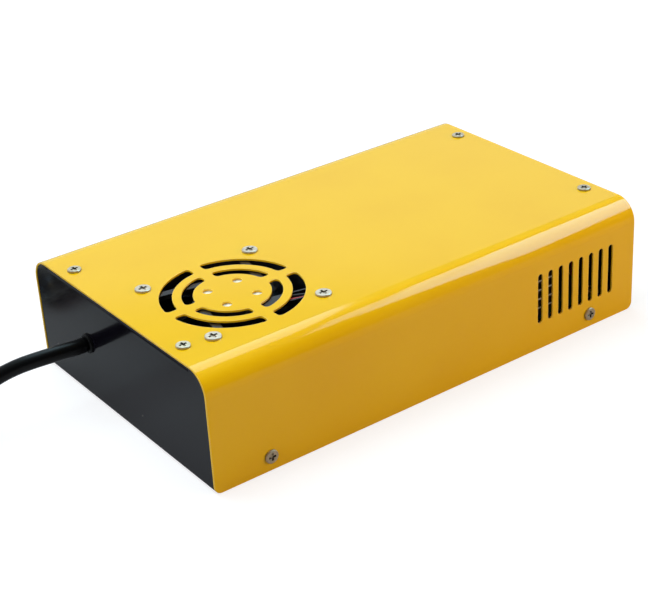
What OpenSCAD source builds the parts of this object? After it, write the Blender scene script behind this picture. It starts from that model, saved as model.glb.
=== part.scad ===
// Bench battery charger in a folded sheet case.
// A yellow lid folded as a channel covers a black tray with upright ends.
// A fan hangs under a slotted grille in the lid, and the output lead leaves the tray's left end.
// X runs along the case towards the mains inlet, Y from the front vents to the back, Z up.

/* [Case] */
// Length of the lid, from the lead's end to the mains end
case_l = 213.5; // [208:0.5:230]
// Width of the lid across its two vented sides
case_w = 128.5; // [126:0.5:140]
// Height of the lid
case_h = 50; // [50:0.5:60]
// Thickness of the lid's sheet
lid_t = 0.8; // [0.8:0.1:1.5]
// Outside radius of the lid's two long bends
lid_bend_r = 9.6; // [6:0.2:12]
// Radius on the lower corners of the lid's sides
foot_r = 3; // [1:0.5:5]
// Thickness of the tray's sheet
tray_t = 1.1; // [0.8:0.1:1.5]
// Height of the tray's underside above the table
tray_lift = 0.5; // [0.2:0.1:2]
// Gap between each end of the tray and the end of the lid
end_gap = 0.3; // [0.2:0.1:0.6]
// Gap between the tray and the inside of the lid's sides
side_gap = 0.25; // [0.1:0.05:0.5]
// Outside radius of the tray's lower bends
floor_bend_r = 1.6; // [1.6:0.1:2.5]
// Outside radius of the tray's bends under the lid
flange_bend_r = 2; // [1.6:0.1:2.5]
// Reach of the tray's top flanges under the lid
flange_reach = 12; // [10.5:0.5:12.5]
// Distance from the case's side to the end of each top flange
flange_inset = 10.6; // [10:0.2:15]
// Height of the lips along the tray's sides
lip_h = 12; // [10.5:0.5:14]
// Distance from the tray's ends to the ends of its side lips
lip_relief = 3; // [2:0.5:5]

/* [Case screws] */
// Diameter of the case screws' threads
case_screw_d = 3; // [2.5:0.5:3]
// Diameter of the case screws' heads
case_head_d = 5.6; // [5:0.1:6]
// Height of the case screws' heads
case_head_h = 0.9; // [0.7:0.1:1.8]
// Length of the case screws under their heads
case_screw_l = 5; // [4.5:0.5:6]
// Distance from the case's ends to the top screws
top_screw_end = 6.4; // [6:0.1:7]
// Distance from the case's sides to the top screws
top_screw_side = 23.5; // [20:0.1:30]
// Distance from the case's ends to the side screws
side_screw_end = 25.2; // [20:0.1:30]
// Height of the side screws above the table
side_screw_z = 6.1; // [5.6:0.1:7]
// Diameter of the clinch nuts
nut_d = 6; // [5.4:0.2:6.4]
// Depth of the clinch nuts behind the sheet
nut_t = 2; // [1.5:0.1:2.5]

/* [Fan grille] */
// Distance from the lead's end to the fan's axis
fan_from_end = 43.2; // [43:0.1:45]
// Distance from the front side to the fan's axis
fan_from_front = 46.7; // [46:0.1:60]
// Outer radius of the outer ring of slots
outer_slot_r = 28.3; // [27.5:0.1:28.5]
// Radial width of the outer ring of slots
outer_slot_w = 5.1; // [4:0.1:6]
// Outer radius of the inner ring of slots
inner_slot_r = 19.6; // [18.5:0.1:20.5]
// Radial width of the inner ring of slots
inner_slot_w = 4.4; // [3.5:0.1:5]
// Width of the four spokes between the slots
spoke_w = 4.8; // [4:0.1:7]
// Corner radius of the grille's slots
slot_corner_r = 1.6; // [1:0.1:1.7]
// Diameter of the four small holes over the hub
hub_hole_d = 3.9; // [3:0.1:4.5]
// Spacing of the four small holes over the hub
hub_hole_pitch = 13.8; // [12:0.1:16]

/* [Side vents] */
// Slots in each side of the lid
vent_n = 8; // [3:1:9]
// Spacing of the side slots
vent_pitch = 5.68; // [5:0.02:6]
// Width of the side slots
vent_w = 2.6; // [1.6:0.1:3.2]
// Length of the side slots
vent_l = 22.5; // [16:0.5:24]
// Distance from the mains end to the nearest side slot
vent_from_end = 13.6; // [12:0.1:16]
// Height of the lower ends of the side slots
vent_z = 12; // [12:0.1:16]

/* [Fan] */
// Side of the fan's square frame
fan_size = 60; // [60:0.5:62]
// Depth of the fan's frame
fan_depth = 15; // [15:0.5:17]
// Spacing of the fan's corner holes
fan_pitch = 50; // [49.5:0.1:50.5]
// Diameter of the fan's corner holes
fan_hole_d = 4.3; // [3.6:0.1:4.6]
// Corner radius of the fan's frame
fan_corner_r = 3.5; // [2:0.5:5]
// Thickness of the fan frame's two flanges
fan_flange_t = 3.2; // [2.5:0.1:4]
// Bore of the fan's duct
duct_d = 57.2; // [56.6:0.1:57.4]
// Wall of the fan's duct between its flanges
duct_wall = 1.3; // [1:0.1:1.5]
// Diameter of the motor's fixed disc under the grille
motor_disc_d = 30; // [28:0.5:31]
// Thickness of the motor's fixed disc
motor_disc_t = 2; // [1.6:0.1:2.4]
// Depth of the fixed disc below the fan's top face
motor_disc_drop = 0.3; // [0.2:0.1:1]
// Width of the four tangent struts
strut_w = 3.4; // [2.5:0.1:4]
// Offset of each strut's middle line from the fan's axis
strut_offset = 14.7; // [14:0.1:17]
// Outward slant of the struts in degrees
strut_slant = 12; // [4:1:14]
// Diameter of the bearing tube
bearing_tube_d = 7; // [6.4:0.2:8]
// Outside diameter of the sleeve bearing
bearing_d = 5; // [4.6:0.1:5.4]
// Length of the sleeve bearing
bearing_l = 7; // [6:0.5:7.5]
// Diameter of the fan's shaft
shaft_d = 2; // [1.8:0.1:2.4]
// Radial running clearance between shaft and bearing
shaft_play = 0.04; // [0.02:0.01:0.08]
// Outside diameter of the impeller's hub
hub_d = 31.4; // [30:0.2:33]
// Wall of the impeller's hub
hub_wall = 1.2; // [1:0.1:1.5]
// Depth of the impeller's hub
hub_h = 10.4; // [9.5:0.1:10.6]
// Running gap between the hub and the fixed disc
hub_gap = 0.8; // [0.5:0.1:1.2]
// Blades on the impeller
blade_n = 7; // [5:1:9]
// Gap between blade tips and duct
tip_gap = 0.7; // [0.5:0.1:1.2]
// Thickness of the blades at mid chord
blade_t = 1.5; // [1.2:0.1:2]
// Blade angle at the hub in degrees from the fan's plane
root_pitch = 46; // [38:1:50]
// Blade angle at the tip in degrees from the fan's plane
tip_pitch = 28; // [22:1:34]
// Diameter of the fan screws' threads
fan_screw_d = 3; // [2.5:0.5:3]
// Diameter of the fan screws' heads
fan_head_d = 6.4; // [6:0.1:7]
// Height of the fan screws' heads
fan_head_h = 0.9; // [0.7:0.1:2]
// Width across the flats of the hexagon nuts
hex_w = 5.5; // [5:0.1:6]
// Thickness of the hexagon nuts
hex_t = 2.4; // [2:0.1:3]

/* [Circuit board] */
// Thickness of the circuit board
board_t = 1.6; // [1.2:0.1:2]
// Height of the board's standoffs
standoff_h = 5; // [4:0.5:6]
// Width across the flats of the standoffs
standoff_w = 5; // [4.5:0.5:6]
// Thickness of the insulating sheet under the board
sheet_t = 0.4; // [0.2:0.1:0.6]
// Gap between the board's ends and the tray's ends
board_end_gap = 6.4; // [6:0.1:8]
// Gap between the board's sides and the tray's lips
board_side_gap = 5; // [4:0.1:6]
// Distance from the board's edges to its screws
board_hole_inset = 5; // [4:0.5:6]

/* [Heatsinks] */
// Length of each heatsink
sink_l = 113; // [108:1:114]
// Distance from the mains end to each heatsink
sink_from_end = 38.5; // [36:0.5:40]
// Height of each heatsink
sink_h = 30; // [28:0.5:31]
// Thickness of the heatsinks' plates
sink_t = 4; // [3:0.5:5]
// Reach of the fins from the plate
fin_l = 5; // [4:0.5:6]
// Thickness of the fins
fin_t = 1.1; // [0.8:0.1:1.6]
// Spacing of the fins
fin_pitch = 4.1; // [3.6:0.1:4.4]
// Fins on each heatsink
fin_n = 6; // [3:1:6]
// Height of the lowest fin above the table
fin_z = 14.65; // [13.5:0.05:16]
// Distance from the case's sides to the fin tips
fin_from_side = 5; // [4.6:0.1:6]

/* [Mains inlet] */
// Width of the inlet's flange
inlet_flange_w = 50; // [48:0.5:52]
// Height of the inlet's flange
inlet_flange_h = 24; // [22.5:0.5:26]
// Thickness of the inlet's flange
inlet_flange_t = 2.8; // [2.4:0.1:3.4]
// Width of the inlet's body behind the flange
inlet_body_w = 27; // [26:0.5:29]
// Height of the inlet's body behind the flange
inlet_body_h = 19.5; // [18.5:0.5:21]
// Depth of the inlet behind the face of its flange
inlet_depth = 18; // [17.5:0.1:20]
// Width of the inlet's recess
recess_w = 24; // [23:0.2:24.4]
// Height of the inlet's recess
recess_h = 16.5; // [16:0.1:17]
// Depth of the inlet's recess
recess_depth = 15.8; // [15:0.1:16]
// Bevel on the recess's two upper corners
recess_bevel = 4.6; // [4:0.1:5]
// Spacing of the inlet's screws
inlet_pitch = 40; // [39:0.5:41]
// Distance from the back side to the inlet's middle
inlet_from_back = 40; // [38:0.5:60]
// Height of the inlet's middle above the table
inlet_z = 25; // [24:0.5:27]

/* [Output lead] */
// Diameter of the output lead
cable_d = 6.2; // [5:0.1:6.4]
// Sideways place of the lead's hole from the case's middle
cable_y = 24.4; // [10:0.1:40]
// Height of the lead's hole above the table
cable_z = 26; // [20:0.5:30]
// Diameter of the grommet's collar outside the tray
collar_d = 8.2; // [7.6:0.1:9]
// Length of the grommet's collar outside the tray
collar_l = 1.2; // [1:0.1:3]
// Diameter of the hole that the grommet snaps into
grommet_hole_d = 7.6; // [7.2:0.1:7.8]
// Length of the lead's jacket inside the tray
tail_l = 13; // [8:0.5:15]

/* [Coil and plug] */
// Radius of the coil at the middle of its turns
coil_r = 37; // [32:0.5:40]
// Turns side by side and on top of each other in the coil
coil_bundle = 2; // [2:1:3]
// Width of the tie round the coil
tie_w = 9; // [6:0.5:14]
// Thickness of the tie round the coil
tie_t = 0.9; // [0.6:0.1:1.4]
// Diameter of the plug's coupling ring
ring_d = 18.6; // [18:0.1:20]
// Length of the plug's coupling ring
ring_l = 11; // [9:0.5:13]
// Length of the plug's shell behind the ring
shell_l = 32; // [26:1:36]
// Grooves round the coupling ring
ring_groove_n = 24; // [16:1:30]

/* [Hidden] */

// Fineness of round solids
$fn = 48;
// Overshoot that lets a cutter clear the face it cuts
cut = 1;

// The case's outline in plan, centred with the inlet's flange counted in
inlet_proud = inlet_flange_t - end_gap;
left_x = -(case_l + inlet_proud) / 2;
right_x = left_x + case_l;
front_y = -case_w / 2;
back_y = case_w / 2;
function from_left(d) = left_x + d;
function from_right(d) = right_x - d;
function from_front(d) = front_y + d;
function from_back(d) = back_y - d;

// The tray inside the lid
tray_x0 = left_x + end_gap;
tray_x1 = right_x - end_gap;
tray_l = tray_x1 - tray_x0;
tray_w = case_w - 2 * (lid_t + side_gap);
tray_top = case_h - lid_t;
floor_top = tray_lift + tray_t;
tray_corner_r = lid_bend_r - lid_t - side_gap;
top_screw_xs = [from_left(top_screw_end), from_right(top_screw_end)];
top_screw_ys = [from_front(top_screw_side), from_back(top_screw_side)];
side_screw_xs = [from_left(side_screw_end), from_right(side_screw_end)];

// The fan under the lid
fan_x = from_left(fan_from_end);
fan_y = from_front(fan_from_front);
fan_top = tray_top;
fan_base = fan_top - fan_depth;
disc_top = fan_top - motor_disc_drop;
disc_base = disc_top - motor_disc_t;
hub_top = disc_base - hub_gap;
hub_base = hub_top - hub_h;
tube_l = 8.2;
tip_r = duct_d / 2 - tip_gap;
screw_hole_play = 0.2;
stator_d = 21;
stator_h = 4.6;
stator_z = disc_base - 6.6;
drive_board_t = 0.8;
lead_strut_more = 3.2;
lead_channel_start = 13.2;
lead_depth = 1.5;

// The board and what stands on it
board_z = floor_top + standoff_h;
board_top = board_z + board_t;
board_l = tray_l - 2 * (tray_t + board_end_gap);
board_w = tray_w - 2 * (tray_t + board_side_gap);
board_x0 = tray_x0 + tray_t + board_end_gap;
board_xs = [board_x0 + board_hole_inset, board_x0 + board_l - board_hole_inset];
board_ys = [-board_w / 2 + board_hole_inset, board_w / 2 - board_hole_inset];
sink_x1 = from_right(sink_from_end);
sink_x0 = sink_x1 - sink_l;
sink_face_y = case_w / 2 - fin_from_side - fin_l - sink_t;
// Place across the board, from its middle, as a share of its width
function across(share) = share * board_w;

// The inlet in the tray's right end
inlet_y = from_back(inlet_from_back);
wall_x1 = tray_x1;
wall_in_x1 = tray_x1 - tray_t;
inlet_face_x = wall_x1 + inlet_flange_t;
inlet_back_x = inlet_face_x - inlet_depth;

// The lead, its coil and its plug
cable_r = cable_d / 2;
collar_x = tray_x0 - collar_l;
tail_x1 = tray_x0 + tray_t + tail_l;
coil_x = -200;
coil_half = coil_bundle * cable_r;
outer_turn_r = coil_r + coil_half - cable_r;
lead_lean = 8;
coil_y = cable_y + lead_lean + outer_turn_r;
tie_turn = 250;
plug_y = coil_y + outer_turn_r;
plug_x0 = -170;
plug_z = ring_d / 2;

// Middle line of the lead as it falls to the coil: place along x, lean towards the back, height
fall_route = [[-113, 0, 26], [-120, 0.9, 26], [-130, 2.2, 25.9], [-138, 3.3, 25.3], [-146, 4.5, 23.4],
    [-153, 5.5, 20.2], [-160, 6.4, 15.9], [-167, 7.1, 11.3], [-174, 7.6, 7.4], [-181, 7.9, 4.7],
    [-187, lead_lean, 3.4], [-192, lead_lean, 3.1]];
// Middle line of the lead from the coil to the plug
end_route = [[-194, 9.3], [-188, 9.3], [-180, 9.3]];

// Points along an arc round c from angle a0 to a1 in n steps
function arc(c, r, a0, a1, n) =
    [for (i = [0:n]) let (a = a0 + (a1 - a0) * i / n) c + r * [cos(a), sin(a)]];

function unit(v) = v / norm(v);

// Ring of points round a route's point, square to the route there
function route_ring(route, i, r, sides, flat) =
    let (
        last = len(route) - 1,
        along = unit(route[min(i + 1, last)] - route[max(i - 1, 0)]),
        across = unit(cross(flat, along)),
        upward = cross(along, across)
    )
    [for (k = [0:sides - 1])
        let (a = 360 * (k + 0.5) / sides)
        route[i] + r * (cos(a) * across + sin(a) * upward)];

// Round lead or wire swept along a route as one closed polyhedron
module swept(route, d, sides = 8, flat = [0, 0, 1]) {
    last = len(route) - 1;
    points = [for (i = [0:last]) each route_ring(route, i, d / 2, sides, flat)];
    walls = [for (i = [0:last - 1], k = [0:sides - 1])
        let (n = (k + 1) % sides)
        each [[i * sides + k, (i + 1) * sides + k, (i + 1) * sides + n],
              [i * sides + k, (i + 1) * sides + n, i * sides + n]]];
    near_cap = [[for (k = [0:sides - 1]) k]];
    far_cap = [[for (k = [sides - 1:-1:0]) last * sides + k]];
    polyhedron(points, concat(walls, near_cap, far_cap), convexity = 4);
}

// Turns a shape drawn in the YZ plane so that it is swept along X
module along_x(l) {
    rotate([90, 0, 90]) linear_extrude(l) children();
}

// Turns a shape drawn in the XZ plane so that it is swept along Y, from y = 0 backwards to y = l
module along_y(l) {
    translate([0, l, 0]) rotate([90, 0, 0]) linear_extrude(l) children();
}

// Upright rectangle whose lower corners have radius r0 and whose upper corners have radius r1
module round_rect(x0, x1, z0, z1, r0, r1) {
    union() {
        translate([x0 + r0, z0]) square([x1 - x0 - 2 * r0, r0]);
        translate([x0 + r0, z0 + r0]) circle(r0);
        translate([x1 - r0, z0 + r0]) circle(r0);
        translate([x0, z0 + r0]) square([x1 - x0, z1 - z0 - r0 - r1]);
        translate([x0 + r1, z1 - r1]) square([x1 - x0 - 2 * r1, r1]);
        translate([x0 + r1, z1 - r1]) circle(r1);
        translate([x1 - r1, z1 - r1]) circle(r1);
    }
}

// Slot with round ends, upright, from z = 0 to z = l
module round_slot(w, l) {
    polygon(concat(arc([0, l - w / 2], w / 2, 0, 180, 8), arc([0, w / 2], w / 2, 180, 360, 8)));
}

// Pan head, cross recess and thread, with the head standing on z = 0 and the thread below
module pan_screw(d, head_d, head_h, l) {
    crown = head_h * 0.45;
    recess_w = head_d * 0.17;
    recess_l = head_d * 0.56;
    recess_h = head_h * 0.75;
    difference() {
        rotate_extrude() polygon(concat(
            [[0, -l], [d / 2 - 0.3, -l], [d / 2, -l + 0.5], [d / 2, 0], [head_d / 2, 0]],
            arc([head_d / 2 - crown, head_h - crown], crown, 0, 70, 4), [[0, head_h]]));
        for (a = [0, 90])
            rotate(a) translate([-recess_l / 2, -recess_w / 2, head_h - recess_h])
                cube([recess_l, recess_w, recess_h + cut]);
    }
}

module ring(od, id, h) {
    difference() {
        cylinder(h, d = od);
        translate([0, 0, -cut]) cylinder(h + 2 * cut, d = id);
    }
}

module at_grid(xs, ys, z) {
    for (x = xs, y = ys) translate([x, y, z]) children();
}

// Fan's four corners, from the fan's axis
module at_fan_corners(z) {
    for (x = [-1, 1], y = [-1, 1])
        translate([fan_x + x * fan_pitch / 2, fan_y + y * fan_pitch / 2, z]) children();
}

// Side screws' places, with +Z turned out of the case's side at depth d below the lid's face
module at_side_screws(d) {
    for (x = side_screw_xs, s = [-1, 1])
        translate([x, s * (case_w / 2 - d), side_screw_z]) rotate([-s * 90, 0, 0]) children();
}

module channel_outline(w, h, r) {
    union() {
        translate([-w / 2, -cut]) square([w, h - r + cut]);
        translate([-w / 2 + r, 0]) square([w - 2 * r, h]);
        for (s = [-1, 1]) translate([s * (w / 2 - r), h - r]) circle(r);
    }
}

// One slot of the grille, in the quarter between two spokes
module grille_slot(ro, w) {
    c = slot_corner_r;
    ri = ro - w;
    edge = spoke_w / 2;
    a_out = asin((edge + c) / (ro - c));
    a_in = asin((edge + c) / (ri + c));
    out_c = (ro - c) * [cos(a_out), sin(a_out)];
    in_c = (ri + c) * [cos(a_in), sin(a_in)];
    polygon(concat(
        arc(out_c, c, -90, a_out, 5),
        arc([0, 0], ro, a_out, 90 - a_out, 14),
        arc([out_c[1], out_c[0]], c, 90 - a_out, 180, 5),
        arc([in_c[1], in_c[0]], c, 180, 270 - a_in, 5),
        arc([0, 0], ri, 90 - a_in, a_in, 12),
        arc(in_c, c, 180 + a_in, 270, 5)));
}

module grille_cut() {
    for (q = [0:90:270]) rotate(q) {
        grille_slot(outer_slot_r, outer_slot_w);
        grille_slot(inner_slot_r, inner_slot_w);
    }
}

// Waste outside a rounded lower corner of the lid, along the whole width
module foot_waste(x, s) {
    translate([x, -case_w / 2 - cut, 0]) along_y(case_w + 2 * cut) difference() {
        translate([s > 0 ? -cut : -foot_r, -cut]) square([foot_r + cut, foot_r + cut]);
        translate([s * foot_r, foot_r]) circle(foot_r);
    }
}

module lid() color("gold") {
    top_cut = lid_t + 2 * cut;
    difference() {
        intersection() {
            translate([left_x, 0, 0]) along_x(case_l) difference() {
                channel_outline(case_w, case_h, lid_bend_r);
                channel_outline(case_w - 2 * lid_t, tray_top, lid_bend_r - lid_t);
            }
            translate([left_x - cut, front_y - cut, 0])
                cube([case_l + 2 * cut, case_w + 2 * cut, case_h + cut]);
        }
        foot_waste(left_x, 1);
        foot_waste(right_x, -1);
        translate([fan_x, fan_y, tray_top - cut]) linear_extrude(top_cut) grille_cut();
        for (x = [-1, 1], y = [-1, 1])
            translate([fan_x + x * hub_hole_pitch / 2, fan_y + y * hub_hole_pitch / 2, tray_top - cut])
                cylinder(top_cut, d = hub_hole_d);
        at_fan_corners(tray_top - cut) cylinder(top_cut, d = fan_screw_d + 2 * screw_hole_play);
        at_grid(top_screw_xs, top_screw_ys, tray_top - cut)
            cylinder(top_cut, d = case_screw_d + 2 * screw_hole_play);
        at_side_screws(lid_t + cut) cylinder(top_cut, d = case_screw_d + 2 * screw_hole_play);
        for (i = [0:vent_n - 1])
            translate([from_right(vent_from_end + i * vent_pitch), front_y - cut, vent_z])
                along_y(case_w + 2 * cut) round_slot(vent_w, vent_l);
    }
}

// Tray's ends and floor as one folded strip, still square at its upper corners
module tray_strip() {
    inside_w = tray_w - 2 * tray_corner_r;
    intersection() {
        translate([0, -tray_w / 2, 0]) along_y(tray_w) difference() {
            round_rect(tray_x0, tray_x1, tray_lift, tray_top + floor_bend_r, floor_bend_r, floor_bend_r);
            round_rect(tray_x0 + tray_t, tray_x1 - tray_t, floor_top, tray_top + 2 * floor_bend_r,
                floor_bend_r - tray_t, floor_bend_r - tray_t);
        }
        translate([tray_x0 - cut, 0, 0]) along_x(tray_l + 2 * cut) union() {
            translate([-tray_w / 2, 0]) square([tray_w, tray_top - tray_corner_r]);
            translate([-inside_w / 2, 0]) square([inside_w, tray_top]);
            for (s = [-1, 1])
                translate([s * inside_w / 2, tray_top - tray_corner_r]) circle(tray_corner_r);
        }
    }
}

// Flanges and their bends at the top of both ends
module tray_flanges() {
    translate([0, from_front(flange_inset), 0]) along_y(case_w - 2 * flange_inset) intersection() {
        difference() {
            round_rect(tray_x0, tray_x1, tray_lift, tray_top, flange_bend_r, flange_bend_r);
            round_rect(tray_x0 + tray_t, tray_x1 - tray_t, floor_top, tray_top - tray_t,
                flange_bend_r - tray_t, flange_bend_r - tray_t);
            translate([tray_x0 + flange_reach, 0]) square([tray_l - 2 * flange_reach, case_h]);
        }
        translate([tray_x0 - cut, tray_top - flange_bend_r])
            square([tray_l + 2 * cut, flange_bend_r + cut]);
    }
}

module tray_lips() {
    lip_x0 = tray_x0 + lip_relief;
    translate([lip_x0, 0, 0]) along_x(tray_l - 2 * lip_relief) intersection() {
        difference() {
            round_rect(-tray_w / 2, tray_w / 2, tray_lift, case_h, floor_bend_r, floor_bend_r);
            round_rect(-tray_w / 2 + tray_t, tray_w / 2 - tray_t, floor_top, case_h + cut,
                floor_bend_r - tray_t, floor_bend_r - tray_t);
        }
        translate([-tray_w / 2 - cut, 0]) square([tray_w + 2 * cut, tray_lift + lip_h]);
    }
}

// Opening in the right end for the inlet's body, with play all round
module inlet_cutout() {
    w = inlet_body_w + 2 * screw_hole_play;
    h = inlet_body_h + 2 * screw_hole_play;
    translate([inlet_y - w / 2, inlet_z - h / 2]) square([w, h]);
}

module base_tray() color("#202124") {
    difference() {
        union() {
            difference() {
                tray_strip();
                for (x = [tray_x0 - cut, tray_x1 - tray_t - cut])
                    translate([x, from_front(flange_inset), tray_top - flange_bend_r])
                        cube([tray_t + 2 * cut, case_w - 2 * flange_inset, flange_bend_r + cut]);
                for (s = [0, 1])
                    mirror([0, s, 0]) translate([tray_x0 + lip_relief, -tray_w / 2 - cut, 0])
                        cube([tray_l - 2 * lip_relief, floor_bend_r + cut, floor_top + cut]);
            }
            tray_flanges();
            tray_lips();
        }
        at_grid(top_screw_xs, top_screw_ys, tray_top - tray_t - cut)
            cylinder(tray_t + 2 * cut, d = case_screw_d + 2 * screw_hole_play);
        at_side_screws(lid_t + side_gap + tray_t + cut)
            cylinder(tray_t + 2 * cut, d = case_screw_d + 2 * screw_hole_play);
        translate([tray_x0 - cut, cable_y, cable_z]) rotate([0, 90, 0])
            cylinder(tray_t + 2 * cut, d = grommet_hole_d);
        translate([wall_in_x1 - cut, 0, 0]) along_x(tray_t + 2 * cut) inlet_cutout();
        at_inlet_screws(wall_in_x1 - cut)
            cylinder(tray_t + 2 * cut, d = case_screw_d + 2 * screw_hole_play);
        for (y = light_ys) translate([wall_in_x1 - cut, y, light_z]) rotate([0, 90, 0])
            cylinder(tray_t + 2 * cut, d = light_d + 2 * screw_hole_play);
    }
}

module clinch_nut() {
    ring(nut_d, case_screw_d + 0.1, nut_t);
}

module clinch_nuts() color("silver") {
    at_grid(top_screw_xs, top_screw_ys, tray_top - tray_t - nut_t) clinch_nut();
    at_side_screws(lid_t + side_gap + tray_t + nut_t) clinch_nut();
}

module lid_screws() color("silver") {
    at_grid(top_screw_xs, top_screw_ys, case_h)
        pan_screw(case_screw_d, case_head_d, case_head_h, case_screw_l);
}

module side_screws() color("silver") {
    at_side_screws(0) pan_screw(case_screw_d, case_head_d, case_head_h, case_screw_l);
}

module hex_nut() {
    difference() {
        cylinder(hex_t, d = hex_w / cos(30), $fn = 6);
        translate([0, 0, -cut]) cylinder(hex_t + 2 * cut, d = case_screw_d + 0.1);
    }
}

module hex_nuts() color("silver") {
    at_fan_corners(fan_base - hex_t) hex_nut();
    at_inlet_screws(wall_in_x1 - hex_t) hex_nut();
}

// Moves a shape drawn round the fan's axis to its place, at height z
module at_fan(z) {
    translate([fan_x, fan_y, z]) children();
}

module fan_square(s, r) {
    round_rect(-s / 2, s / 2, -s / 2, s / 2, r, r);
}

// Moves a strip drawn along +X to run from the motor's fixed disc along a strut
module at_strut() {
    translate([0, strut_offset]) rotate(180 - strut_slant) children();
}

// Struts from the motor's fixed disc to the duct, seen from above, one of them wider for the leads
module fan_struts() {
    root = 4;
    reach = sqrt(pow(duct_d / 2 + duct_wall / 2, 2) - pow(strut_offset, 2));
    for (q = [0:90:270]) rotate(q) at_strut() translate([-root, -strut_w / 2])
        square([root + reach, q == 180 ? strut_w + lead_strut_more : strut_w]);
}

// Channel for the leads in the wider strut, as far as the duct's wall
module lead_channel() {
    wall = 0.8;
    reach = duct_d / 2 - lead_channel_start;
    rotate(180) at_strut() translate([lead_channel_start, -strut_w / 2 + wall])
        square([reach, strut_w + lead_strut_more - 2 * wall]);
}

module fan_frame() color("#1c1c1e") {
    lead_notch_w = 4.4;
    lead_notch_x = 19.4;
    lead_notch_y = -21.6;
    difference() {
        union() {
            difference() {
                union() {
                    at_fan(fan_base) cylinder(fan_depth, d = duct_d + 2 * duct_wall);
                    for (z = [fan_base, fan_top - fan_flange_t])
                        at_fan(z) linear_extrude(fan_flange_t) fan_square(fan_size, fan_corner_r);
                }
                at_fan(fan_base - cut) cylinder(fan_depth + 2 * cut, d = duct_d);
            }
            at_fan(disc_base) cylinder(motor_disc_t, d = motor_disc_d);
            intersection() {
                at_fan(disc_base) cylinder(motor_disc_t, d = duct_d + duct_wall);
                at_fan(disc_base) linear_extrude(motor_disc_t) fan_struts();
            }
            at_fan(disc_base - tube_l) cylinder(tube_l + motor_disc_t / 2, d = bearing_tube_d);
        }
        at_fan(disc_base - tube_l - cut) cylinder(tube_l + cut, d = bearing_d);
        at_fan_corners(fan_base - cut) cylinder(fan_depth + 2 * cut, d = fan_hole_d);
        at_fan(fan_top - lead_depth) linear_extrude(lead_depth + cut) lead_channel();
        at_fan(fan_top - lead_depth) translate([lead_notch_x, lead_notch_y, 0])
            cube([fan_size, lead_notch_w, lead_depth + cut]);
    }
}

module fan_label() color("white") {
    at_fan(disc_top) cylinder(0.1, d = motor_disc_d - 1.6);
}

module fan_bearing() color("#b08d57") {
    at_fan(disc_base - bearing_l) ring(bearing_d, shaft_d + 2 * shaft_play, bearing_l);
}

module fan_stator() color("gray") {
    pole_n = 4;
    at_fan(stator_z) difference() {
        union() {
            cylinder(stator_h, d = bearing_tube_d + 5);
            intersection() {
                cylinder(stator_h, d = stator_d);
                union() {
                    for (i = [0:pole_n / 2 - 1]) rotate(i * 360 / pole_n)
                        translate([-stator_d, -1.6, 0]) cube([2 * stator_d, 3.2, stator_h]);
                    for (i = [0:pole_n - 1]) rotate(i * 360 / pole_n)
                        translate([stator_d / 2 - 1.4, -5.6, 0]) cube([stator_d, 11.2, stator_h]);
                }
            }
        }
        translate([0, 0, -cut]) cylinder(stator_h + 2 * cut, d = bearing_tube_d);
    }
}

module fan_windings() color("#b5612a") {
    coil_in = bearing_tube_d / 2 + 2.6;
    coil_out = stator_d / 2 - 1.5;
    for (i = [0:3]) at_fan(stator_z) rotate(i * 90) difference() {
        translate([coil_in, -2.6, -0.9]) cube([coil_out - coil_in, 5.2, stator_h + 1.8]);
        translate([coil_in - cut, -1.6, 0]) cube([coil_out - coil_in + 2 * cut, 3.2, stator_h]);
    }
}

module fan_drive_board() color("darkgreen") {
    at_fan(disc_base - drive_board_t) ring(stator_d + 1, bearing_tube_d, drive_board_t);
}

// Section of a blade at radius r: a cambered aerofoil round mid chord, as [tangent, axial] points
function blade_section(r, r0, r1, chord0, chord1) =
    let (
        k = (r - r0) / (r1 - r0),
        pitch = root_pitch + (tip_pitch - root_pitch) * k,
        chord = chord0 + (chord1 - chord0) * k,
        n = 5,
        camber = 0.07 * chord,
        station = [for (i = [0:n]) -0.5 + i / n],
        rise = [for (s = station) camber * (1 - 4 * s * s)],
        half = [for (s = station) blade_t / 2 * (1.04 - 4 * s * s)],
        upper = [for (i = [0:n]) [station[i] * chord, rise[i] + half[i]]],
        lower = [for (i = [n - 1:-1:1]) [station[i] * chord, rise[i] - half[i]]]
    )
    [for (p = concat(upper, lower))
        [p[0] * cos(pitch) - p[1] * sin(pitch), p[0] * sin(pitch) + p[1] * cos(pitch)]];

// Lofted blade whose sections are wrapped round the axis at each radius
module fan_blade() {
    r0 = hub_d / 2 - 0.6;
    r1 = tip_r;
    steps = 4;
    radii = [for (i = [0:steps]) r0 + (r1 - r0) * i / steps];
    sweep_deg = 10;
    rings = [for (i = [0:steps])
        let (r = radii[i], lean = sweep_deg * i / steps)
        [for (p = blade_section(r, r0, r1, 10.5, 15))
            let (a = lean + p[0] / r * 180 / PI) [r * cos(a), r * sin(a), p[1]]]];
    m = len(rings[0]);
    walls = [for (i = [0:steps - 1], k = [0:m - 1])
        let (n = (k + 1) % m)
        each [[i * m + k, (i + 1) * m + n, (i + 1) * m + k], [i * m + k, i * m + n, (i + 1) * m + n]]];
    root = [for (k = [1:m - 2]) [0, k + 1, k]];
    tip = [for (k = [1:m - 2]) [steps * m, steps * m + k, steps * m + k + 1]];
    polyhedron([for (r = rings) each r], concat(walls, root, tip), convexity = 4);
}

module fan_impeller() color("#26262a") {
    boss_d = 5;
    boss_h = 2.6;
    difference() {
        union() {
            at_fan(hub_base) difference() {
                cylinder(hub_h, d = hub_d);
                translate([0, 0, hub_wall]) cylinder(hub_h, d = hub_d - 2 * hub_wall);
            }
            at_fan(hub_base) cylinder(boss_h, d = boss_d);
            at_fan(hub_base + hub_h / 2)
                for (i = [0:blade_n - 1]) rotate(i * 360 / blade_n) fan_blade();
        }
        at_fan(hub_base + 0.6) cylinder(boss_h + cut, d = shaft_d);
    }
}

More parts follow.
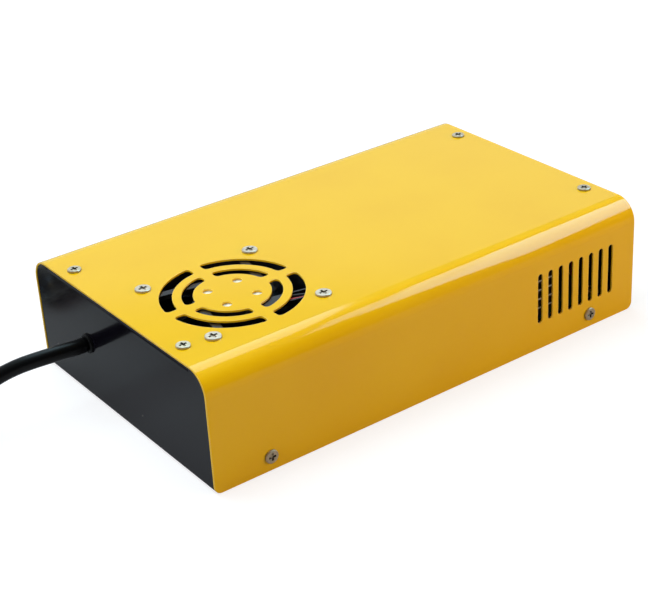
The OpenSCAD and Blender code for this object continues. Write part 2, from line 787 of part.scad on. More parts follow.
module fan_magnet() color("#4a4a4c") {
    at_fan(hub_base + hub_wall) ring(hub_d - 2 * hub_wall, stator_d + 2, hub_h - hub_wall - 0.8);
}

module fan_shaft() color("silver") {
    at_fan(hub_base + 0.6) cylinder(disc_base - 0.3 - hub_base - 0.6, d = shaft_d);
}

module fan_screws() color("silver") {
    at_fan_corners(case_h)
        pan_screw(fan_screw_d, fan_head_d, fan_head_h, lid_t + fan_depth + hex_t + 0.6);
}

fan_lead_d = 0.9;
fan_lead_step = 1.1;
connector_l = 6;
connector_w = 5.4;
connector_h = 8;
// Red lead in the wider strut's channel and the frame's notch, from the fan's axis
fan_lead_run = [[13.6, -17], [16, -17.95], [18.5, -18.9], [21, -19.85], [23.5, -20.4], [27, -20.4]];
// Offset of the black lead from the red one along that run
fan_lead_split = [[1.8, 2.5], [1.65, 2.25], [1.3, 2.1], [0.9, 1.95], [0.7, 1.5], [0, fan_lead_step]];
// Bend of the leads over the frame's side: distance from the side, place along it, depth below the top
fan_lead_bend = [[0, -20.2, 1], [1.4, -20, 1.9], [2.2, -19.7, 4]];
// Foot of the leads over their connector, from the frame's side and the fan's axis
fan_lead_foot = [4, -17.8];

module fan_lead(side) {
    run_z = fan_top - lead_depth + fan_lead_d / 2 + 0.1;
    side_x = fan_x + fan_size / 2;
    foot = board_top + connector_h;
    steps = 5;
    bend_end = fan_lead_bend[len(fan_lead_bend) - 1];
    run = [for (i = [0:len(fan_lead_run) - 1])
        let (p = fan_lead_run[i] + side * fan_lead_split[i])
        [fan_x + p[0], fan_y + p[1], run_z]];
    bend = [for (p = fan_lead_bend) [side_x + p[0], fan_y + p[1] + side * fan_lead_step, fan_top - p[2]]];
    drop = [for (i = [1:steps])
        let (k = i / steps)
        [side_x + bend_end[0] + (fan_lead_foot[0] - bend_end[0]) * k,
            fan_y + bend_end[1] + (fan_lead_foot[1] - bend_end[1]) * k + side * fan_lead_step,
            fan_top - bend_end[2] + (foot - fan_top + bend_end[2]) * k]];
    swept(concat(run, bend, drop), fan_lead_d, 8, [0.3, 1, 0]);
}

module fan_lead_red() color("firebrick") fan_lead(0);

module fan_lead_black() color("#222222") fan_lead(1);

module fan_connector() color("ivory") {
    slot_wall = 1.2;
    translate([fan_x + fan_size / 2 + fan_lead_foot[0] - connector_l / 2,
        fan_y + fan_lead_foot[1] + fan_lead_step / 2 - connector_w / 2, board_top]) difference() {
        cube([connector_l, connector_w, connector_h]);
        translate([connector_l - slot_wall, slot_wall, connector_h / 2])
            cube([slot_wall + cut, connector_w - 2 * slot_wall, connector_h]);
    }
}

module insulating_sheet() color("#d8d2b0") {
    margin = 1;
    standoff_play = 0.4;
    translate([board_x0 + margin, -board_w / 2 + margin, floor_top]) difference() {
        cube([board_l - 2 * margin, board_w - 2 * margin, sheet_t]);
        translate([-board_x0 - margin, board_w / 2 - margin, -cut]) at_grid(board_xs, board_ys, 0)
            cylinder(sheet_t + 2 * cut, d = standoff_w / cos(30) + 2 * standoff_play);
    }
}

module board_standoffs() color("silver") {
    at_grid(board_xs, board_ys, floor_top) difference() {
        cylinder(standoff_h, d = standoff_w / cos(30), $fn = 6);
        translate([0, 0, 1]) cylinder(standoff_h, d = case_screw_d);
    }
}

module circuit_board() color("darkgreen") {
    difference() {
        translate([board_x0, -board_w / 2, board_z]) cube([board_l, board_w, board_t]);
        at_grid(board_xs, board_ys, board_z - cut)
            cylinder(board_t + 2 * cut, d = case_screw_d + 2 * screw_hole_play);
    }
}

module board_screws() color("silver") {
    at_grid(board_xs, board_ys, board_top)
        pan_screw(case_screw_d - 0.1, case_head_d, case_head_h, standoff_h - 0.4);
}

// Finned extrusion that stands along the case's side; s is -1 at the front and 1 at the back
module heatsink(s) {
    tip_y = case_w / 2 - fin_from_side;
    plate_y = tip_y - fin_l - sink_t;
    mirror([0, s < 0 ? 1 : 0, 0]) translate([sink_x0, 0, 0]) along_x(sink_l) union() {
        translate([plate_y, board_top]) square([sink_t, sink_h]);
        for (i = [0:fin_n - 1]) translate([plate_y + sink_t - 0.5, fin_z + i * fin_pitch])
            square([fin_l + 0.5, fin_t]);
    }
}

module heatsink_front() color("#8d9094") heatsink(-1);

module heatsink_rear() color("#8d9094") heatsink(1);

device_w = 10;
device_t = 4.5;
device_h = 15;
device_z = board_top + 9;
device_hole_z = device_z + device_h * 0.82;
tab_t = 1.3;
pin_pitch = 2.54;
transistor_xs = [sink_x0 + 30, sink_x0 + 54];
diode_xs = [sink_x0 + 62, sink_x0 + 86];

// Three-legged power device on a heatsink's inner face
module power_device(x, s) {
    mirror([0, s < 0 ? 1 : 0, 0]) translate([x, sink_face_y, device_z]) {
        difference() {
            union() {
                translate([-device_w / 2, -device_t, 0]) cube([device_w, device_t, device_h * 0.6]);
                translate([-device_w / 2, -tab_t, 0]) cube([device_w, tab_t, device_h]);
            }
            translate([0, -device_t - cut, device_hole_z - device_z]) rotate([-90, 0, 0])
                cylinder(device_t + 2 * cut, d = case_screw_d + 2 * screw_hole_play);
        }
        for (i = [-1, 0, 1]) translate([i * pin_pitch - 0.4, -2.9, board_top - device_z])
            cube([0.8, 0.5, device_z - board_top]);
    }
}

module power_transistors() color("#242424") for (x = transistor_xs) power_device(x, -1);

module output_diodes() color("#242424") for (x = diode_xs) power_device(x, 1);

module device_screws() color("silver") {
    for (x = transistor_xs) translate([x, -sink_face_y + tab_t, device_hole_z]) rotate([-90, 0, 0])
        pan_screw(case_screw_d, case_head_d, case_head_h, tab_t);
    for (x = diode_xs) translate([x, sink_face_y - tab_t, device_hole_z]) rotate([90, 0, 0])
        pan_screw(case_screw_d, case_head_d, case_head_h, tab_t);
}

module bridge_rectifier() color("#1f1f20") {
    w = 22;
    h = 18;
    t = 3.6;
    leg_w = 1;
    leg_step = 2 * pin_pitch;
    mirror([0, 1, 0]) translate([sink_x0 + 90, sink_face_y, device_z]) {
        translate([-w / 2, -t, 0]) cube([w, t, h]);
        for (i = [-1.5:1.5]) translate([i * leg_step - leg_w / 2, -t / 2, board_top - device_z])
            cube([leg_w, 0.7, device_z - board_top]);
    }
}

core_w = 40;
core_d = 14;
core_leg = 12;
core_yoke = 6.5;
core_headroom = 4;
core_from_left = 118;
bobbin_t = 1;
bobbin_base_h = 3;
winding_t = 5.6;
core_play = 0.2;
core_x = from_left(core_from_left);
core_h = tray_top - core_headroom - board_top - bobbin_base_h;

module transformer_core() color("#3a3b3d") {
    window_w = (core_w - core_leg - 2 * core_yoke) / 2;
    window_h = core_h - 2 * core_yoke;
    translate([core_x - core_d / 2, 0, board_top + bobbin_base_h]) along_x(core_d) difference() {
        translate([-core_w / 2, 0]) square([core_w, core_h]);
        for (s = [-1, 1])
            translate([s * (core_leg + window_w) / 2 - window_w / 2, core_yoke])
                square([window_w, window_h]);
    }
}

module bobbin_outline(grow) {
    x = core_d / 2 + core_play + grow;
    y = core_leg / 2 + core_play + grow;
    translate([-x, -y]) square([2 * x, 2 * y]);
}

module transformer_bobbin() color("#2b2b2b") {
    window_h = core_h - 2 * core_yoke;
    tube_z = board_top + bobbin_base_h + core_yoke + core_play;
    tube_h = window_h - 2 * core_play;
    translate([core_x, 0, tube_z]) linear_extrude(tube_h) difference() {
        bobbin_outline(bobbin_t);
        bobbin_outline(0);
    }
    for (z = [tube_z, tube_z + tube_h - bobbin_t]) translate([core_x, 0, z]) linear_extrude(bobbin_t)
        difference() {
            bobbin_outline(bobbin_t + winding_t);
            bobbin_outline(bobbin_t / 2);
        }
    for (s = [-1, 1]) translate([core_x + s * (core_d / 2 + core_play + bobbin_t + 1.6) - 1.6,
        -core_w / 2, board_top]) {
        cube([3.2, core_w, bobbin_base_h]);
        translate([0, core_w / 2 - core_leg / 2, 0])
            cube([1.2, core_leg, tube_z - board_top + bobbin_t / 2]);
    }
}

module transformer_winding() color("#e2b23a") {
    window_h = core_h - 2 * core_yoke;
    z = board_top + bobbin_base_h + core_yoke + core_play + bobbin_t;
    x = core_d / 2 + core_play + bobbin_t;
    y = core_leg / 2 + core_play + bobbin_t;
    t = winding_t - 0.4;
    translate([core_x, 0, z]) linear_extrude(window_h - 2 * core_play - 2 * bobbin_t) difference() {
        union() {
            translate([-x - t, -y]) square([2 * (x + t), 2 * y]);
            translate([-x, -y - t]) square([2 * x, 2 * (y + t)]);
            for (i = [-1, 1], j = [-1, 1]) translate([i * x, j * y]) circle(t);
        }
        translate([-x, -y]) square([2 * x, 2 * y]);
    }
}

// Half profile of a ring core, at mean radius r
module core_section(r, w, h, grow) {
    translate([r - w / 2 - grow, -h / 2 - grow]) square([w + 2 * grow, h + 2 * grow]);
}

choke_x = from_right(42);
choke_y = across(0.2955);
choke_r = 8.5;
choke_w = 5;
choke_h = 9;
choke_wire = 1.2;

module at_choke() {
    translate([choke_x, choke_y, board_top + choke_wire + choke_h / 2]) children();
}

module choke_core() color("#4f8a5b") at_choke() rotate_extrude()
    core_section(choke_r, choke_w, choke_h, 0);

module choke_windings() color("#b5612a") {
    span = 126;
    for (a = [0, 180]) at_choke() rotate(a - span / 2) rotate_extrude(angle = span) difference() {
        core_section(choke_r, choke_w, choke_h, choke_wire);
        core_section(choke_r, choke_w, choke_h, 0);
    }
}

inductor_x = from_left(90);
inductor_y = across(0.2736);
inductor_r = 10.5;
inductor_w = 6.6;
inductor_h = 11;
inductor_wire = 1.8;

module at_inductor() {
    translate([inductor_x, inductor_y, board_top + inductor_wire + inductor_h / 2]) children();
}

module inductor_core() color("#d9c24a") at_inductor() rotate_extrude()
    core_section(inductor_r, inductor_w, inductor_h, 0);

module inductor_winding() color("#b5612a") {
    span = 300;
    at_inductor() rotate(-span / 2) rotate_extrude(angle = span) difference() {
        core_section(inductor_r, inductor_w, inductor_h, inductor_wire);
        core_section(inductor_r, inductor_w, inductor_h, 0);
    }
}

// Can with a rolled groove near its foot and a bevelled top
module can_capacitor(d, h) {
    groove = d * 0.04;
    groove_z = 2.6;
    rotate_extrude() polygon(concat([[0, 0], [d / 2 - 0.6, 0], [d / 2, 0.6], [d / 2, groove_z - 1]],
        arc([d / 2 + 0.2, groove_z], groove + 0.6, 230, 130, 4),
        [[d / 2, groove_z + 1], [d / 2, h - 0.8], [d / 2 - 0.8, h], [d / 2 - 1.4, h],
         [d / 2 - 1.6, h - 0.4], [0, h - 0.4]]));
}

bulk_d = 22;
bulk_h = 32;
bulk_x = from_right(45);

module bulk_capacitors() color("#2a2c33") {
    for (share = [-0.204, 0.015]) translate([bulk_x, across(share), board_top])
        can_capacitor(bulk_d, bulk_h);
}

output_can_d = 10;
output_can_h = 20;
output_can_x = from_left(50);

module output_capacitors() color("#22355a") {
    for (share = [0.173, 0.278, 0.383]) translate([output_can_x, across(share), board_top])
        can_capacitor(output_can_d, output_can_h);
}

film_x = from_right(28);
film_w = 8;
film_l = 14;
film_h = 14;
film_from_inlet = 26.5;

module film_capacitor() color("#d8b24a") {
    translate([film_x, inlet_y - film_from_inlet, board_top]) cube([film_w, film_l, film_h]);
}

fuse_x = from_right(24);
fuse_d = 8.5;
fuse_h = 8;
fuse_from_inlet = 44.5;

module fuse() color("#3c2a20") {
    foot_h = 0.6;
    leg_reach = 2.5;
    translate([fuse_x, inlet_y - fuse_from_inlet, board_top]) {
        translate([0, 0, foot_h]) cylinder(fuse_h - foot_h, d = fuse_d);
        for (x = [-leg_reach, leg_reach]) translate([x - 0.4, -0.3, 0]) cube([0.8, 0.6, foot_h + 0.4]);
    }
}

chip_x = from_left(34);
chip_l = 19.2;
chip_w = 6.4;
chip_h = 3.4;
chip_pin_n = 8;

module controller_chip() color("#1d1d1f") {
    lift = 0.6;
    pin_w = 0.6;
    pin_l = 1.4;
    pin_x0 = (chip_l - (chip_pin_n - 1) * pin_pitch - pin_w) / 2;
    translate([chip_x, across(-0.151), board_top]) {
        translate([0, -chip_w / 2, lift]) cube([chip_l, chip_w, chip_h]);
        for (i = [0:chip_pin_n - 1], s = [-1, 1])
            translate([pin_x0 + i * pin_pitch, s * chip_w / 2 - pin_l / 2, 0])
                cube([pin_w, pin_l, lift + 1.2]);
    }
}

trimmer_x = from_left(22);
trimmer_w = 4.8;
trimmer_l = 7;
trimmer_h = 9;

module trimmers() color("#2b62b4") {
    screw_d = 2.2;
    for (share = [-0.265, -0.186, -0.107]) translate([trimmer_x, across(share), board_top])
        difference() {
            cube([trimmer_w, trimmer_l, trimmer_h]);
            translate([trimmer_w / 2, screw_d, trimmer_h - 0.8]) cylinder(0.8 + cut, d = screw_d);
        }
}

// Shape of the inlet's recess, with its two upper corners bevelled
module recess_outline() {
    w = recess_w / 2;
    h = recess_h / 2;
    polygon([[-w, -h], [w, -h], [w, h - recess_bevel], [w - recess_bevel, h],
        [-w + recess_bevel, h], [-w, h - recess_bevel]]);
}

module at_inlet(x) {
    translate([x, inlet_y, inlet_z]) children();
}

module at_inlet_screws(x) {
    for (s = [-1, 1]) translate([x, inlet_y + s * inlet_pitch / 2, inlet_z]) rotate([0, 90, 0]) children();
}

blade_pin_w = 4;
blade_pin_t = 2;
blade_pin_l = 13;
pin_places = [[-7, -2], [0, 2], [7, -2]];
tab_w = 4.8;
tab_back_t = 0.8;
tab_l = 6;
inlet_floor_x = inlet_face_x - recess_depth;

module ac_inlet() color("#1e1e20") {
    csk_d = 6.2;
    csk_depth = 1.6;
    difference() {
        union() {
            at_inlet(wall_x1) along_x(inlet_flange_t) union() {
                square([inlet_flange_w - inlet_flange_h * 0.6, inlet_flange_h], center = true);
                for (s = [-1, 1])
                    translate([s * inlet_pitch / 2, 0]) circle(d = inlet_flange_w - inlet_pitch);
                square([inlet_pitch, inlet_flange_w - inlet_pitch], center = true);
            }
            at_inlet(inlet_back_x) along_x(wall_x1 - inlet_back_x)
                square([inlet_body_w, inlet_body_h], center = true);
        }
        at_inlet(inlet_floor_x) along_x(recess_depth + cut) recess_outline();
        at_inlet_screws(wall_x1 - cut) {
            cylinder(inlet_flange_t + 2 * cut, d = case_screw_d + 2 * screw_hole_play);
            translate([0, 0, cut + inlet_flange_t - csk_depth])
                cylinder(csk_depth, d1 = case_screw_d + 2 * screw_hole_play, d2 = csk_d);
        }
        for (p = pin_places) at_inlet(inlet_back_x - cut) along_x(inlet_depth)
            translate([p[0], p[1]]) square([blade_pin_t, blade_pin_w], center = true);
    }
}

module inlet_pins() color("silver") {
    for (p = pin_places) {
        at_inlet(inlet_back_x) along_x(inlet_floor_x + blade_pin_l - inlet_back_x)
            translate([p[0], p[1]]) square([blade_pin_t, blade_pin_w], center = true);
        at_inlet(inlet_back_x - tab_l) along_x(tab_l)
            translate([p[0], p[1]]) square([tab_back_t, tab_w], center = true);
    }
}

module inlet_screws() color("silver") {
    head_d = 6;
    head_h = 1.5;
    drop = 0.1;
    cross_l = 3.2;
    cross_w = 1;
    cross_h = 0.9;
    l = inlet_flange_t + tray_t + hex_t + 1;
    at_inlet_screws(inlet_face_x - drop) difference() {
        rotate_extrude() polygon([[0, -l], [case_screw_d / 2, -l], [case_screw_d / 2, -head_h],
            [head_d / 2, 0], [0, 0]]);
        for (a = [0, 90]) rotate(a) translate([-cross_l / 2, -cross_w / 2, -cross_h])
            cube([cross_l, cross_w, cross_h + cut]);
    }
}

mains_wire_d = 2;

// Insulated wire from one of the inlet's rear tabs down to the board, pad_side from the inlet's middle
module mains_wire(i, pad_side) {
    p = pin_places[i];
    x = inlet_back_x - tab_l;
    y = inlet_y + p[0];
    z = inlet_z + p[1];
    shift = pad_side - p[0];
    pad_y = y + shift;
    foot = board_top;
    route = [[x, y, z], [x - 1.6, y, z], [x - 3.6, y, z - 1.4], [x - 4.6, y + shift * 0.3, z - 4.4],
        [x - 4.9, y + shift * 0.65, z - 8], [x - 5, pad_y, foot + 4.4], [x - 5, pad_y, foot]];
    swept(route, mains_wire_d, 8, [0.3, 1, 0]);
}

module live_wire() color("saddlebrown") mains_wire(0, -10);

module neutral_wire() color("royalblue") mains_wire(2, 5);

module earth_wire() color("#7fa83a") mains_wire(1, -2.5);

light_d = 5;
light_z = 20;
light_ys = [from_front(26), from_front(36)];

module status_lights() {
    lens_r = light_d / 2;
    proud = 1.4;
    depth = 4;
    for (i = [0, 1]) color(i == 0 ? "tomato" : "limegreen") {
        translate([wall_in_x1 - depth, light_ys[i], light_z]) rotate([0, 90, 0]) rotate_extrude()
            polygon(concat([[0, 0], [lens_r + 0.45, 0], [lens_r + 0.45, 1], [lens_r, 1]],
                arc([0, depth + tray_t + proud - lens_r], lens_r, 0, 90, 6)));
        for (s = [-1, 1]) translate([0, light_ys[i] + s * 1.27 - 0.25, 0]) {
            translate([wall_in_x1 - depth - 3.5, 0, light_z - 0.25]) cube([3.5, 0.5, 0.5]);
            translate([wall_in_x1 - depth - 4, 0, board_top]) cube([0.5, 0.5, light_z + 0.25 - board_top]);
        }
    }
}

module at_lead(x) {
    translate([x, cable_y, cable_z]) rotate([0, 90, 0]) children();
}

module cable_grommet() color("#1b1b1b") {
    inner_l = 2.6;
    bore_play = 0.05;
    at_lead(collar_x) rotate_extrude() polygon([
        [cable_r + bore_play, 0], [collar_d / 2 - 0.5, 0], [collar_d / 2, 0.5], [collar_d / 2, collar_l],
        [grommet_hole_d / 2, collar_l], [grommet_hole_d / 2, collar_l + tray_t],
        [collar_d / 2 + 0.6, collar_l + tray_t], [collar_d / 2, collar_l + tray_t + inner_l],
        [cable_r + bore_play, collar_l + tray_t + inner_l]]);
}

module cable_tail() color("#1b1b1b") {
    at_lead(collar_x) cylinder(tail_x1 - collar_x, r = cable_r);
}

output_wire_d = 2.4;

// Conductor from the end of the lead's jacket down to its pad on the board
module output_wire(s) {
    y = cable_y + s * 1.3;
    x = tail_x1;
    route = [[x, y, cable_z], [x + 3, y, cable_z], [x + 6.4, y + s * 0.8, cable_z - 1.4],
        [x + 8.8, y + s * 1.8, cable_z - 4.6], [x + 10, y + s * 2.4, cable_z - 8.6],
        [x + 10.4, y + s * 2.6, (cable_z - 8.6 + board_top) / 2], [x + 10.4, y + s * 2.6, board_top]];
    swept(route, output_wire_d, 8, [0, 1, 0]);
}

module output_wire_red() color("firebrick") output_wire(-1);

module output_wire_black() color("#222222") output_wire(1);

module output_cable() color("#1b1b1b") {
    start = [[collar_x, cable_y, cable_z]];
    fall = [for (p = fall_route) [p[0], cable_y + p[1], p[2]]];
    swept(concat(start, fall), cable_d, 10);
    last = [for (p = end_route) [p[0], plug_y, p[1]]];
    swept(concat(last, [[plug_x0, plug_y, plug_z]]), cable_d, 10);
}

module output_cable_coil() color("#1b1b1b") {
    r = cable_r;
    translate([coil_x, coil_y, 0]) rotate_extrude() translate([coil_r - coil_half, 0])
        polygon(concat(
            arc([2 * coil_half - r, r], r, -90, 0, 3),
            arc([2 * coil_half - r, 2 * coil_half - r], r, 0, 90, 3),
            arc([r, 2 * coil_half - r], r, 90, 180, 3),
            arc([r, r], r, 180, 270, 3)));
}

module coil_tie() color("#2d2d30") {
    r = cable_r;
    translate([coil_x, coil_y, 0]) rotate(tie_turn) translate([-tie_w / 2, -coil_r, 0])
        along_x(tie_w) difference() {
            round_rect(-coil_half - tie_t, coil_half + tie_t, 0, 2 * coil_half + tie_t, r, r + tie_t);
            round_rect(-coil_half, coil_half, tie_t, 2 * coil_half, r - tie_t, r);
        }
}

module at_plug(x) {
    translate([x, plug_y, plug_z]) rotate([0, 90, 0]) children();
}

sleeve_d = 13.4;
ring_x0 = plug_x0 + shell_l - 4;

module plug_shell() color("silver") {
    rear_d = 10;
    mid_d = 15.6;
    neck_l = shell_l * 0.34;
    step = 0.8;
    at_plug(plug_x0) difference() {
        rotate_extrude() polygon([[0, 0], [rear_d / 2 - step, 0], [rear_d / 2, step],
            [rear_d / 2 + 1, neck_l], [mid_d / 2, neck_l + 2], [mid_d / 2, shell_l - 7],
            [mid_d / 2 - step, shell_l - 6], [sleeve_d / 2, shell_l - 6], [sleeve_d / 2, shell_l + 5],
            [sleeve_d / 2 - 1, shell_l + 5], [sleeve_d / 2 - 1, shell_l - 4], [0, shell_l - 4]]);
        for (s = [0, 1]) mirror([s, 0, 0])
            translate([rear_d / 2 + 0.1, -rear_d, -cut]) cube([rear_d, 2 * rear_d, neck_l - 2 + cut]);
    }
}

module plug_coupling_ring() color("silver") {
    play = 0.15;
    groove = 0.45;
    at_plug(ring_x0) difference() {
        rotate_extrude() polygon([[sleeve_d / 2 + play, 0], [ring_d / 2 - 1, 0], [ring_d / 2, 1],
            [ring_d / 2, ring_l - 1], [ring_d / 2 - 1, ring_l], [ring_d / 2 - 1.4, ring_l],
            [ring_d / 2 - 1.4, 2.4], [sleeve_d / 2 + play, 2.4]]);
        for (i = [0:ring_groove_n - 1]) rotate((i + 0.5) * 360 / ring_groove_n)
            translate([ring_d / 2, 0, 2]) cylinder(ring_l - 4, r = groove, $fn = 16);
    }
}

module plug_insert() color("#3a2a20") {
    socket_d = 1.8;
    at_plug(plug_x0 + shell_l - 4) difference() {
        cylinder(8.4, d = sleeve_d - 2);
        for (i = [0:2]) rotate(i * 120) translate([3.2, 0, 3]) cylinder(8, d = socket_d);
    }
}

lid();
base_tray();
clinch_nuts();
lid_screws();
side_screws();
hex_nuts();
fan_frame();
fan_label();
fan_bearing();
fan_stator();
fan_windings();
fan_drive_board();
fan_impeller();
fan_magnet();
fan_shaft();
fan_screws();
fan_lead_red();
fan_lead_black();
fan_connector();
insulating_sheet();
board_standoffs();
circuit_board();
board_screws();
heatsink_front();
heatsink_rear();
power_transistors();
output_diodes();
bridge_rectifier();
device_screws();
transformer_core();
transformer_bobbin();
transformer_winding();
choke_core();
choke_windings();
inductor_core();
inductor_winding();
bulk_capacitors();
output_capacitors();
film_capacitor();
fuse();
controller_chip();
trimmers();
ac_inlet();
inlet_pins();
inlet_screws();
live_wire();
neutral_wire();
earth_wire();
status_lights();
cable_grommet();
cable_tail();
output_wire_red();
output_wire_black();
output_cable();
output_cable_coil();
coil_tie();
plug_shell();
plug_coupling_ring();
plug_insert();
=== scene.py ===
# Dresses the bench battery charger for Blender 4.5: finishes, lead, light and camera.
# A yellow powder-coated lid covers a black tray, a fan turns under the lid's slotted grille,
# and the output lead leaves the tray's left end. All lengths are in metres, in the CAD's frame.

import math

import bpy
from mathutils import Matrix, Vector


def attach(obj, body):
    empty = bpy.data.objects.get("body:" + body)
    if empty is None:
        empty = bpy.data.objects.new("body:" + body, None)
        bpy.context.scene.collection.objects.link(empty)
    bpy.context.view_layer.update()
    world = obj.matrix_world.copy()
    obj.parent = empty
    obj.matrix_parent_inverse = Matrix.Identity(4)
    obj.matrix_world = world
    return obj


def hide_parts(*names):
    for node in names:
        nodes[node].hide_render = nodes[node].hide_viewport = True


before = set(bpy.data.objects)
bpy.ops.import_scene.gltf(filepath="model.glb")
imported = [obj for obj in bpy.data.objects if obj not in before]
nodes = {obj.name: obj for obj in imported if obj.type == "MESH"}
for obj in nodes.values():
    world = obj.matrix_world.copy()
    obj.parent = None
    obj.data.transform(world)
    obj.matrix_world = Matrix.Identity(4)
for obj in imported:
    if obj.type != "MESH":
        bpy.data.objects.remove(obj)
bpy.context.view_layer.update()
scene = bpy.context.scene

# One millimetre in Blender's metres
MM = 0.001


# Small helpers

def colour(hex_code):
    """Turns an sRGB hex colour into the linear RGBA that a shader socket takes."""
    def linear(byte):
        part = byte / 255
        return part / 12.92 if part <= 0.04045 else ((part + 0.055) / 1.055) ** 2.4
    red, green, blue = (int(hex_code[i:i + 2], 16) for i in (0, 2, 4))
    return (linear(red), linear(green), linear(blue), 1.0)


def add_node(tree, kind, sockets=None, links=None, **settings):
    """Adds one node, sets its settings and sockets, and links other nodes' outputs into it."""
    node = tree.nodes.new(kind)
    for name, value in settings.items():
        setattr(node, name, value)
    for name, value in (sockets or {}).items():
        node.inputs[name].default_value = value
    for name, output in (links or {}).items():
        tree.links.new(output, node.inputs[name])
    return node


def per_metre(size_mm):
    """A texture's scale for features of that size in millimetres."""
    return 1 / (size_mm * MM)


def wave_scale(step_mm):
    """A wave texture's scale. Its phase turns by one radian over the step, so its lines lie
    2 pi steps apart."""
    radians_per_unit = 20
    return per_metre(step_mm) / radians_per_unit


def new_finish(name):
    """Starts a material: returns it, its tree and the object's own coordinates in metres."""
    material = bpy.data.materials.new(name)
    material.use_nodes = True
    tree = material.node_tree
    tree.nodes.clear()
    coordinates = add_node(tree, "ShaderNodeTexCoord").outputs["Object"]
    return material, tree, coordinates


def finish_with(tree, sockets, links):
    """Closes a material's tree with its Principled shader and output."""
    shader = add_node(tree, "ShaderNodeBsdfPrincipled", sockets, links)
    add_node(tree, "ShaderNodeOutputMaterial", links={"Surface": shader.outputs["BSDF"]})


def dress(material, *names):
    """Gives CAD nodes their finish."""
    for name in names:
        slots = nodes[name].data.materials
        slots.clear()
        slots.append(material)


# Camera at the photograph's viewing angle

PHOTO_AZIMUTH = math.radians(-34.858)
PHOTO_ELEVATION = math.radians(27.808)
PHOTO_ROLL = math.radians(-3.537)
PHOTO_DISTANCE = 0.66308
PHOTO_LENS = 89.324
SENSOR_W = 36
NEAREST_SEEN = 0.05
FARTHEST_SEEN = 60
AIM = Vector((-0.01313, -0.00454, 0.025))

backwards = Vector((
    math.sin(PHOTO_AZIMUTH) * math.cos(PHOTO_ELEVATION),
    -math.cos(PHOTO_AZIMUTH) * math.cos(PHOTO_ELEVATION),
    math.sin(PHOTO_ELEVATION),
))
lens = bpy.data.cameras.new("photo_camera")
lens.lens = PHOTO_LENS
lens.sensor_width = SENSOR_W
lens.clip_start = NEAREST_SEEN
lens.clip_end = FARTHEST_SEEN
camera = bpy.data.objects.new("photo_camera", lens)
scene.collection.objects.link(camera)
camera.rotation_mode = "QUATERNION"
upright = backwards.to_track_quat("Z", "Y").to_matrix()
camera.rotation_quaternion = (upright @ Matrix.Rotation(PHOTO_ROLL, 3, "Z")).to_quaternion()
camera.location = AIM + backwards * PHOTO_DISTANCE
scene.camera = camera


# Output lead: out of the tray's end, down to the table, into its coil and to its plug

LEAD_D = 0.0062
LEAD_SIDES = 24
LEAD_PARTS = 3
LEAD_EXIT = (-0.1089, 0.0244, 0.026)
# The fall from the exit to the coil: x, lean towards the back, height
FALL_ROUTE = [
    (-0.113, 0.0000, 0.0260), (-0.120, 0.0009, 0.0260), (-0.130, 0.0022, 0.0259),
    (-0.138, 0.0033, 0.0253), (-0.146, 0.0045, 0.0234), (-0.153, 0.0055, 0.0202),
    (-0.160, 0.0064, 0.0159), (-0.167, 0.0071, 0.0113), (-0.174, 0.0076, 0.0074),
    (-0.181, 0.0079, 0.0047), (-0.187, 0.0080, 0.0034), (-0.192, 0.0080, 0.0031),
]
COIL_AT = Vector((-0.200, 0.0725, 0))
COIL_OUTER_R = 0.0401
COIL_INNER_R = 0.0339
COIL_LOWER_Z = 0.0031
COIL_UPPER_Z = 0.0093
COIL_TURNS = 3.5
POINTS_PER_TURN = 36
# The lead joins the coil at its near side. Each turn crosses into the bundle's next slot on the
# coil's right side, between these two bearings in degrees
COIL_START = -90
FIRST_TURN_GOES_IN = (-5, -58)
SECOND_TURN_GOES_UP = (42, -5)
THIRD_TURN_GOES_OUT = (80, 42)
# The run from the coil's top into the plug, as x, at the coil's far side
END_ROUTE = [-0.194, -0.188, -0.180, -0.170]


def eased(bearing, start, end):
    """Goes smoothly from 0 to 1 as a bearing in degrees falls from start to end."""
    part = min(max((start - bearing) / (start - end), 0), 1)
    return part * part * (3 - 2 * part)


def coil_point(turned):
    """A point on the coil after that many degrees, wound clockwise as seen from above."""
    angle = COIL_START - turned % 360
    bearing = angle + 360
    turn = int(turned // 360)
    if turn == 0:
        outward = 1 - eased(bearing, *FIRST_TURN_GOES_IN)
        upward = 0
    elif turn == 1:
        outward = 0
        upward = eased(bearing, *SECOND_TURN_GOES_UP)
    elif turn == 2:
        outward = eased(bearing, *THIRD_TURN_GOES_OUT)
        upward = 1
    else:
        outward = 1
        upward = 1
    radius = COIL_INNER_R + outward * (COIL_OUTER_R - COIL_INNER_R)
    height = COIL_LOWER_Z + upward * (COIL_UPPER_Z - COIL_LOWER_Z)
    way = math.radians(angle)
    return COIL_AT + Vector((radius * math.cos(way), radius * math.sin(way), height))


def smooth_line(points, parts):
    """A smooth line through the points, with that many parts between each two."""
    line = []
    ends = [2 * points[0] - points[1], *points, 2 * points[-1] - points[-2]]
    for before, start, end, after in zip(ends, ends[1:], ends[2:], ends[3:]):
        for i in range(parts):
            t = i / parts
            line.append(0.5 * (
                2 * start + (end - before) * t
                + (2 * before - 5 * start + 4 * end - after) * t ** 2
                + (3 * start - before - 3 * end + after) * t ** 3
            ))
    return line + [points[-1]]


def mesh_piece(name, corners, faces, material=None):
    """A mesh object with smooth faces, linked to the scene."""
    mesh = bpy.data.meshes.new(name)
    mesh.from_pydata(corners, [], faces)
    mesh.shade_smooth()
    if material:
        mesh.materials.append(material)
    piece = bpy.data.objects.new(name, mesh)
    scene.collection.objects.link(piece)
    return piece


